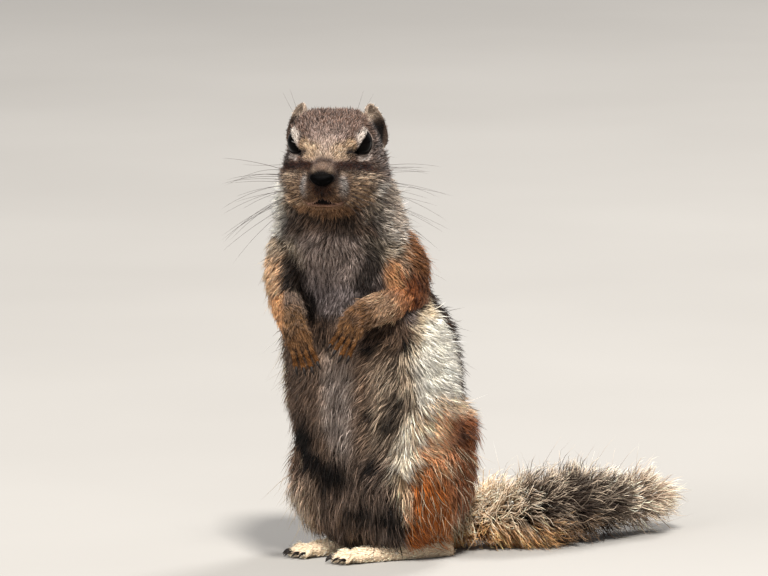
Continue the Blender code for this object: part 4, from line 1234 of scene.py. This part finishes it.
def scattered():
    """Roots spread over the skin by area and thickness of coat: the place and normal of each."""
    a, b, c = (SKIN_POINTS[SKIN_FACES[:, i]] for i in range(3))
    area = np.linalg.norm(np.cross(b - a, c - a), axis=-1) / 2
    total = np.cumsum(area * density(FACE_SPOTS))
    count = int(total[-1])
    pick = np.searchsorted(total, (np.arange(count) + rng.uniform(size=count)) * total[-1] / count)
    u, v = rng.uniform(size=(2, count))
    fold = u + v > 1
    u, v = np.where(fold, 1 - u, u)[:, None], np.where(fold, 1 - v, v)[:, None]
    root = a[pick] + (b - a)[pick] * u + (c - a)[pick] * v
    na, nb, nc = (SKIN_NORMALS[SKIN_FACES[pick, i]] for i in range(3))
    return root, unit(na * (1 - u - v) + nb * u + nc * v)


def clumps(p, size, seed):
    """Which clump each root belongs to: the nearest of points strewn one to each cell of a 3-D grid."""
    cell = np.floor(p / size).astype(np.int64)
    best = np.full(len(p), np.inf)
    label = np.zeros(len(p), np.int64)
    steps = np.stack(np.meshgrid((-1, 0, 1), (-1, 0, 1), (-1, 0, 1)), -1).reshape(-1, 3)
    for offset in steps:
        there = cell + offset
        code = (there * (73856093, 19349663, 83492791)).sum(-1) + seed * 7919
        jitter = np.stack([(np.sin(code * k % 100003) * 43758.5453) % 1.0 for k in (0.7, 1.3, 2.1)], -1)
        gap = ((p - (there + jitter) * size) ** 2).sum(-1)
        nearer = gap < best
        best = np.where(nearer, gap, best)
        label = np.where(nearer, code, label)
    return np.unique(label, return_inverse=True)[1]


def gathered(label, values):
    """The mean of the values over each clump, given back to each of its members."""
    count = np.bincount(label)[:, None]
    sums = np.stack([np.bincount(label, values[:, i]) for i in range(values.shape[1])], -1)
    return (sums / count)[label]


# ---------------------------------------------------------------- tufts
UV_PATCH = 0.003  # the side of a tuft's triangle on the map


def spikes(name, stations, radius, colours, centre, across):
    """Closed three-sided spikes along rows of points, with a colour at each row.

    Each ring but the last has three corners at the given radius, flattened to six tenths; the last
    is a single point. Each spike's map is a small triangle at its root's place on the skin.
    """
    count, rows = stations.shape[:2]
    along = unit(stations[:, -1] - stations[:, 0])
    side = unit(np.cross(across, along))
    flat = np.cross(along, side)
    turn = np.radians((90.0, 210.0, 330.0))
    corner = (np.cos(turn)[:, None, None] * side + 0.6 * np.sin(turn)[:, None, None] * flat)
    rings = stations[:, :-1, None] + radius[:, :-1, None, None] * corner.transpose(1, 0, 2)[:, None]
    points = np.concatenate((rings.reshape(count, -1, 3), stations[:, -1:]), 1)
    size = points.shape[1]
    k = np.arange(rows - 2)[:, None] * 3
    j = np.arange(3)
    q = (j + 1) % 3
    quads = np.stack((k + j, k + q, k + 3 + q, k + 3 + j), -1).reshape(-1, 4)
    last = (rows - 2) * 3
    ends = np.stack((last + j, last + q, np.full(3, size - 1)), -1)
    base = np.arange(count)[:, None, None] * size
    quads = (base + quads).reshape(-1, 4)
    ends = (base + np.vstack((ends, ((2, 1, 0),)))).reshape(-1, 3)
    mesh = mesh_of(name, points.reshape(-1, 3), [quads, ends])
    shades = np.concatenate((np.repeat(colours[:, :-1], 3, 1), colours[:, -1:]), 1)
    paint(mesh, shades.reshape(-1, 3))
    share = np.concatenate((np.repeat(np.arange(rows - 1), 3), (rows - 1,))) / (rows - 1)
    spread = np.concatenate((np.tile((-0.5, 0.5, 0.0), rows - 1), (0.0,)))
    patch = UV_PATCH * np.stack((spread * (1 - share), share - 0.5 + 0.1 * (spread == 0)), -1)
    places = (centre[:, None] + patch[None]).reshape(-1, 2)
    corners = np.empty(len(mesh.loops), np.int32)
    mesh.loops.foreach_get("vertex_index", corners)
    mesh.uv_layers.new(name="OFBake")
    mesh.uv_layers["OFBake"].data.foreach_set("uv", places[corners].astype(np.float32).ravel())
    return mesh


def paint(mesh, colours):
    """The colour at each point, for the coat's materials."""
    layer = mesh.attributes.new("coat", "FLOAT_COLOR", "POINT")
    full = np.concatenate((colours, np.ones((len(colours), 1))), 1)
    layer.data.foreach_set("color", full.astype(np.float32).ravel())


def unwrapped(at, region):
    """Place on a flat unwrap of the region: the turn round it, and the way along it."""
    if region in ("face", "crown"):
        turn = np.degrees(np.arctan2(at.head[:, 0], at.head[:, 2] + 8.0))
        return np.stack((turn / 360 + 0.5, (at.head[:, 1] + 30.0) / 62.0), -1)
    if region == "tail":
        turn = np.arctan2(at.z - 13.0, at.y - 30.0) / 6.4 + 0.5
        return np.stack((turn, at.along["tail"] * 0.96 + 0.02), -1)
    return np.stack((at.angle / 372.0 + 0.5, (at.z + 2.0) / 160.0), -1)


# how far apart the middles of the small and of the large clumps are
CLUMPS = {"face": (1.5, 4.0), "crown": (1.7, 4.5), "paws": (1.2, 3.0), "tail": (4.2, 9.0),
          "chest": (2.2, 6.0)}
BODY_CLUMPS = (3.0, 7.5)
# how much the tone varies from clump to clump
CLUMP_TONE = {"belly": 0.42, "flanks": 0.42, "haunch_right": 0.42, "neck": 0.42, "chest": 0.14}
GUARDED = ("haunch_left", "haunch_right")  # with long pale hairs standing out of the coat


def laid(region, root, normal, at):
    """The path, width and kind of each tuft: it lies along the coat, and is drawn towards its clump's own.

    A path runs from the root along the lie, rises by the sine of the lift, bends sideways as a
    parabola, and each of its points moves part of the way to the mean of its clump.
    """
    count, rows = len(root), 4 if region == "tail" else 3
    long, lift, wide, clump = lengths(at)
    sway = [waves(root, 9.0, 50 + i) + waves(root, 4.0, 60 + i) for i in range(3)]
    way = lie(at, normal) + 0.24 * np.stack(sway, -1)
    way = way - normal * (way * normal).sum(-1, keepdims=True)
    way = unit(unit(way) + rng.normal(size=(count, 3)) * (0.6 if region == "tail" else 0.26))
    small, large = CLUMPS.get(region, BODY_CLUMPS)
    label, wider = clumps(root, small, 5), clumps(root, large, 6)
    kinds = label.max() + 1
    kind = np.random.default_rng(11).uniform(size=kinds)[label]
    long = long * rng.uniform(0.72, 1.12, count) * (0.88 + 0.24 * kind)
    stray = rng.uniform(size=count) < (0.055 if region in GUARDED else 0.02)
    long = np.where(stray, long * rng.uniform(1.15, 1.45, count), long)
    lift = np.radians(lift * rng.uniform(0.6, 1.3, count) * np.where(stray, 1.3, 1.0))
    lift = lift + np.radians(14.0) * rng.normal(size=kinds)[label] * (region == "tail")
    lift = np.minimum(lift, 1.5)[:, None, None]
    share = np.linspace(0, 1, rows)[None, :, None]
    bend = 0.3 * waves(root, 6.0, 71) + (0.5 if region == "tail" else 0.14) * rng.normal(size=count)
    bend = bend * (0.3 if region in ("face", "paws") else 1.0)
    path = way[:, None] * np.cos(lift) * share
    path = path + normal[:, None] * (np.sin(lift) * (share - 0.36 * share**2))
    path = path + bend[:, None, None] * np.cross(normal, way)[:, None] * (share**2 - 0.3 * share)
    sunk = 0.06 if region in ("face", "paws") else 0.22
    path = root[:, None] + long[:, None, None] * path - (normal * sunk)[:, None]
    for which, force in ((wider, 0.5), (label, 1.0)):
        middle = gathered(which, path.reshape(count, -1)).reshape(path.shape)
        pull = (force * clump * rng.uniform(0.5, 1.2, count) * ~stray)[:, None, None] * share**1.3
        path = path + (middle - path) * np.clip(pull, 0, 0.85)
    path[..., 2] = np.maximum(path[..., 2], HAIR_FLOOR)
    return within_room(path), wide, kind, stray


def tinted(region, coat, kind, stray, rows):
    """The colour at each row of each tuft: from its root's tone to its own by half way, then its tip's."""
    count = len(kind)
    dark = rng.uniform(size=count) < coat.dark
    pale = rng.uniform(size=count) < 0.25 * coat.tips
    even = step(coat.roots, 0.55, 0.85)
    deep = CLUMP_TONE.get(region, 0.26)
    vary = 0.62 if region == "chest" else 0.92
    spread = (0.98 - vary / 2 + vary * rng.uniform(size=count)) * (1.0 - deep + 2 * deep * kind)
    spread = 1.0 + (spread - 1.0) * (1 - 0.75 * even)
    base = coat.colour * spread[:, None]
    base = np.where(dark[:, None], base * 0.2, base)
    tip = base + (np.clip(base * 1.9 + 0.13, 0, 0.93) - base) * (coat.tips * ~dark)[:, None]
    tip = np.where((pale & ~dark)[:, None], np.clip(tip * 1.35 + 0.06, 0, 0.92), tip)
    if region in GUARDED:
        base = np.where(stray[:, None], CREAM * 0.75, base)
        tip = np.where(stray[:, None], CREAM, tip)
    low = base * coat.roots[:, None]
    ramp = np.linspace(0, 2, rows)[None, :, None]
    return np.where(ramp < 1, low[:, None] + (base - low)[:, None] * ramp,
                    base[:, None] + (tip - base)[:, None] * (ramp - 1))


def tail_ends(shades, along, up, kind):
    """Pale roots and ends for the tail's hairs, brightest near the rump and at the tip, and lighter on top,
    partly as a painted highlight.
    """
    count = len(kind)
    core = band(along, 0.47, 0.8, 0.06)
    # the pale ends are the hairs' own; the lift on top by the hair's facing is partly a painted highlight
    pale_ends_and_top_light = 0.5 + 1.1 * step(along, 0.6, 0.84) + 1.4 * step(along, 0.54, 0.4) + 0.55 * step(up, 0.2, 0.9)
    pale_ends_and_top_light = pale_ends_and_top_light * (1 - core * 0.75 * (kind < 0.5)) * (0.75 + 0.5 * kind)
    under = (step(up, -0.1, -0.6) * step(along, 0.75, 0.5))[:, None]
    mid = rng.uniform(size=count) ** 1.5 * np.clip(0.45 + 0.6 * pale_ends_and_top_light, 0.4, 1.0)
    light = np.clip(pale_ends_and_top_light + under[:, 0], 0, 1.7) * (0.6 + 0.6 * rng.uniform(size=count))
    pale = mixed(linear(236, 212, 186), linear(228, 172, 116), under) * light[:, None]
    shades[:, 0] = pale * 0.15
    shades[:, 2] = shades[:, 1] + (pale - shades[:, 1]) * mid[:, None]
    shades[:, 3] = pale


def make_tufts(region, root, normal):
    """One coat piece: a spike from each root, marked as the skin is where the hair is seen."""
    at = Spots(root)
    path, wide, kind, stray = laid(region, root, normal, at)
    count, rows = path.shape[:2]
    seen = at
    if region not in ("tail", "paws"):
        seen = Spots(path[:, 1] * 0.8 + path[:, 2] * 0.2)
        seen.region = at.region
    coat = markings(seen)
    girth = np.interp(np.linspace(0, 1, rows), (0, 0.35, 0.67, 1), (0.8, 1.0, 0.75, 0.0))
    radius = (wide * rng.uniform(0.75, 1.2, count) * np.where(stray, 0.5, 1.0))[:, None] * 0.5 * girth
    shades = tinted(region, coat, kind, stray, rows)
    if region == "tail":
        tail_ends(shades, at.along["tail"], normal[:, 2], kind)
    shades = np.clip(shades, 0.004, 0.95)
    mesh = spikes("coat_" + region, path, radius, shades, unwrapped(at, region), normal)
    finished(mesh, COAT)


# ---------------------------------------------------------------- materials
class Finish:
    """A material with one shader of constant roughness and shine, built up node by node."""

    def __init__(self, name, rough, shine, **constants):
        self.material = bpy.data.materials.new(name)
        self.material.use_nodes = True
        self.nodes = self.material.node_tree.nodes
        self.shader = self.nodes["Principled BSDF"]
        constants |= {"Roughness": rough, "Specular_IOR_Level": shine}
        for socket, value in constants.items():
            self.shader.inputs[socket.replace("_", " ")].default_value = value

    def link(self, start, start_socket, end, end_socket):
        """One node's output feeds another's input."""
        self.material.node_tree.links.new(start.outputs[start_socket], end.inputs[end_socket])

    def coated(self):
        """Coloured by the coat's markings."""
        colour = self.nodes.new("ShaderNodeAttribute")
        colour.attribute_name = "coat"
        self.link(colour, "Color", self.shader, "Base Color")
        return self

    def grained(self, scale, detail=3.0):
        """Given a noise on Object coordinates, for what follows."""
        place = self.nodes.new("ShaderNodeTexCoord")
        self.noise = self.nodes.new("ShaderNodeTexNoise")
        self.noise.inputs["Scale"].default_value = scale
        self.noise.inputs["Detail"].default_value = detail
        self.link(place, "Object", self.noise, "Vector")
        return self

    def bumped(self, strength, distance):
        """Made finely uneven by the noise."""
        bump = self.nodes.new("ShaderNodeBump")
        bump.inputs["Strength"].default_value = strength
        bump.inputs["Distance"].default_value = distance
        self.link(self.noise, "Fac", bump, "Height")
        self.link(bump, "Normal", self.shader, "Normal")
        return self

    def toned(self, dark, light):
        """Mottled by the noise, between a darker and a lighter tone."""
        ramp = self.nodes.new("ShaderNodeValToRGB")
        for element, position, tone in zip(ramp.color_ramp.elements, (0.35, 0.68), (dark, light)):
            element.position = position
            element.color = (*linear(*tone), 1.0)
        self.link(self.noise, "Fac", ramp, "Fac")
        self.link(ramp, "Color", self.shader, "Base Color")
        return self


COAT = Finish("hair", 0.6, 0.12, Sheen_Weight=0.02, Sheen_Roughness=0.5).coated().material
SKIN = Finish("under_fur", 0.8, 0.1).coated().grained(2200.0).bumped(0.35, 0.0002).material
EYE_WET = Finish("wet_eye", 0.05, 0.065, IOR=1.34).grained(900.0, 2.0).toned((3, 2, 2), (8, 6, 5)).material
HORN = Finish("claw_horn", 0.45, 0.15).grained(1600.0).bumped(0.2, 0.0001)
HORN = HORN.toned((14, 10, 9), (36, 27, 21)).material
NOSE = Finish("nose_leather", 0.42, 0.02).grained(3800.0).bumped(0.8, 0.00018)
NOSE = NOSE.toned((1, 1, 1), (5, 4, 4)).material
WHISKER = Finish("whisker", 0.6, 0.15).grained(500.0).bumped(0.05, 0.00005)
WHISKER = WHISKER.toned((26, 18, 15), (46, 32, 25)).material
GROUND = Finish("plain_floor", 0.85, 0.5).grained(3.0).bumped(0.05, 0.001)
GROUND = GROUND.toned((138, 135, 131), (143, 140, 136)).material


# ---------------------------------------------------------------- the pieces
def finished(mesh, material):
    """A piece of the still model, with its material, hung from the root."""
    piece = placed(mesh)
    piece.data.materials.append(material)
    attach(piece, "root")
    return piece


def finish_skin():
    """The skin carries the coat's marks, darkened as the roots are, less so on the head and the paws."""
    coat = markings(SKIN_SPOTS)
    bare = coat.roots * 0.95
    bare += (0.75 - bare) * SKIN_SPOTS.on("head", "hand_left", "hand_right", "foot_left", "foot_right") * 0.6
    paint(skin.data, np.clip(coat.colour * bare[:, None], 0, 1))
    skin.data.materials.clear()
    skin.data.materials.append(SKIN)
    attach(skin, "root")
    flesh = [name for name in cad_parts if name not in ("eye_left", "eye_right", "nose")]
    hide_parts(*flesh)


COAT_SLOTS = {
    "face": "grey_brown_coat", "crown": "grey_brown_coat", "neck": "pale_coat",
    "chest": "grey_brown_coat", "belly": "grey_brown_coat", "flanks": "grey_brown_coat",
    "back": "dark_coat", "haunch_left": "russet_coat", "haunch_right": "russet_coat",
    "arms": "tan_coat", "paws": "cream_coat", "tail": "dark_coat",
}


def coat_regions(at):
    """Which coat piece each root belongs to: the first whose test it meets."""
    trunk, side = at.on("trunk") > 0, np.abs(at.angle)
    tests = {
        "face": (at.on("head") > 0) & (at.head[:, 1] > 2),
        "crown": at.on("head", "ear_left", "ear_right") > 0,
        "neck": trunk & (at.z > 117),
        "back": trunk & (side > 112),
        "chest": trunk & (at.z > 84),
        "belly": trunk & (side < 48),
        "flanks": trunk,
        "haunch_left": at.on("thigh_left", "shank_left") > 0,
        "haunch_right": at.on("thigh_right", "shank_right") > 0,
        "arms": at.on("arm_left", "arm_right", "forearm_left", "forearm_right") > 0,
        "paws": at.on("hand_left", "hand_right", "foot_left", "foot_right") > 0,
        "tail": at.on("tail") > 0,
    }
    return np.select(list(tests.values()), list(tests), "none")


def make_coat():
    """Tufts from scattered roots, one piece to each region."""
    root, normal = scattered()
    piece_of = coat_regions(Spots(root))
    for region, slot in COAT_SLOTS.items():
        here = piece_of == region
        make_tufts(region, root[here], normal[here])


def make_eyes():
    """Balls, in rings of latitude round the outward line."""
    for side, sign in (("left", 1.0), ("right", -1.0)):
        flip = np.array((sign, 1.0, 1.0))
        axes = np.array((EYE_AHEAD * flip, EYE_UP * flip, EYE_OUT * flip)) @ HEAD_AXES
        rings = ball_rings(in_head(EYE * flip), axes, (EYEBALL, EYEBALL, EYEBALL), 48, 64)
        piece = finished(tube_mesh("eyeball_" + side, rings), EYE_WET)
        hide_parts("eye_" + side)


def make_nose():
    """A squared ball, wider than high, with a nostril sunk in each side and a split below."""
    c, s = oval(2.3, 96)
    turn = np.radians(np.linspace(-88, 88, 72))[:, None]
    z = np.cos(turn) * s * 2.6
    x = np.cos(turn) * c * 4.5 * (1 + 0.07 * np.minimum(z, 0))
    y = np.sin(turn) * 3.0 * np.ones(96)
    sink = np.exp(-(((np.abs(x) - 2.5) / 0.95) ** 2 + ((z + 0.5 - 0.18 * np.abs(x)) / 0.55) ** 2))
    split = np.exp(-((x / 0.28) ** 2)) * step(z, 0.4, -0.8)
    y = y - (0.5 * sink + 0.4 * split) * (y > 0)
    rings = in_head(np.stack((x, y + 25.4, z - 7.0 + 0.02 * x**2), -1))
    piece = finished(tube_mesh("nose_pad", rings), NOSE)
    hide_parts("nose")


def make_claws():
    """Curved tapering tubes from the digits' ends."""
    meshes = [tube_mesh("claw", tube_rings(rows, 14, 12, 4)) for _, claws in PAWS.values() for rows in claws]
    finished(joined("claws", meshes), HORN)


# root, way and length of the hairs over the eye and on the cheek
BROW_HAIRS = (((8.5, 5.5, 6.8), (0.35, 0.3, 1.0), 17), ((9.6, 4.5, 7.2), (0.6, 0.1, 1.0), 15),
              ((16.5, -4.0, -9.0), (1.0, 0.1, -0.1), 18))


def make_whiskers():
    """Thin tapering hairs: each leaves its pad outwards and bows back and down along a parabola."""
    draw = np.random.default_rng(23)
    paths = []
    for sign in (1.0, -1.0):
        for row in range(5):
            for column in range(4):
                root = ((5.8 + 0.6 * column) * sign, 21.5 - 2.2 * column, -8.6 - 1.6 * row)
                out = np.array((sign, 0.3 - 0.28 * column, 0.36 - 0.2 * row)) + draw.normal(size=3) * 0.08
                droop = (0.0, -0.25, -0.16 - 0.3 * draw.uniform())
                paths.append((root, out, draw.uniform(28, 44), 0.19, droop))
        flip = np.array((sign, 1.0, 1.0))
        for place, way, long in BROW_HAIRS:
            paths.append((place * flip, way * flip, long, 0.12, (0.0, -0.2, 0.05)))
    share = np.linspace(0, 1, 12)[:, None]
    stations, radii = [], []
    for root, out, long, thick, bow in paths:
        out = unit(out) @ HEAD_AXES
        bow = np.array(bow) @ HEAD_AXES
        stations.append(in_head(root) - out * 0.8 + long * (share * out + share**2 * bow))
        radii.append(thick * (1 - share[:, 0] * 0.75))
    stations, radii = within_room(np.array(stations)), np.array(radii)
    count = len(stations)
    tone = np.tile(linear(40, 28, 22), (count, 12, 1))
    places = np.stack((np.linspace(0.05, 0.95, count), np.full(count, 0.5)), -1)
    mesh = spikes("whiskers", stations, radii, tone, places, np.tile((0.0, 0.0, 1.0), (count, 1)))
    finished(mesh, WHISKER)


# ---------------------------------------------------------------- camera, floor and light
def make_camera():
    """A long lens 3 m off, looking 8 degrees down at a point above the feet."""
    far, rise, width = 3000.0, math.radians(8.0), 284.16
    target = np.array((0.0, 0.0, 101.6))
    place = target + far * np.array((0.0, -math.cos(rise), math.sin(rise)))
    data = bpy.data.cameras.new("camera")
    data.sensor_width = 36.0
    data.lens = 36.0 * far / width
    data.clip_end = 50.0
    camera = placed(data)
    camera.location = (place + ORIGIN) * MM
    camera.rotation_euler = (math.pi / 2 - rise, 0.0, 0.0)
    bpy.context.scene.camera = camera


def make_light(name, place, size, power, colour):
    """A soft round panel that faces the chest."""
    data = bpy.data.lights.new(name, "AREA")
    data.shape = "DISK"
    data.size = size
    data.energy = power
    data.color = colour
    lamp = placed(data)
    lamp.location = place
    aim = np.array((0.0, 0.0, 0.09)) - np.array(place)
    lamp.rotation_euler = (math.atan2(math.hypot(aim[0], aim[1]), -aim[2]), 0.0,
                           math.atan2(aim[1], aim[0]) - math.pi / 2)


def make_stage():
    """A flat square floor, an even pale sky and three soft lights."""
    mesh = bpy.data.meshes.new("floor")
    half = 6.0
    corners = [(-half, -half, 0), (half, -half, 0), (half, half, 0), (-half, half, 0)]
    mesh.from_pydata(corners, [], [(0, 1, 2, 3)])
    floor = placed(mesh)
    floor.data.materials.append(GROUND)
    world = bpy.data.worlds.new("studio")
    world.use_nodes = True
    sky = world.node_tree.nodes["Background"]
    sky.inputs["Color"].default_value = (0.93, 0.95, 1.0, 1.0)
    sky.inputs["Strength"].default_value = 0.34
    bpy.context.scene.world = world
    make_light("key", (0.30, -1.95, 3.40), 0.55, 330.0, (1.0, 0.97, 0.92))
    make_light("fill", (-1.6, -1.4, 1.4), 1.2, 45.0, (1.0, 0.98, 0.96))
    make_light("rim", (1.2, 1.6, 2.0), 0.9, 75.0, (1.0, 0.98, 0.95))
    bpy.context.scene.view_settings.view_transform = "Standard"


make_camera()
make_stage()
finish_skin()
make_eyes()
make_nose()
make_claws()
make_whiskers()
make_coat()
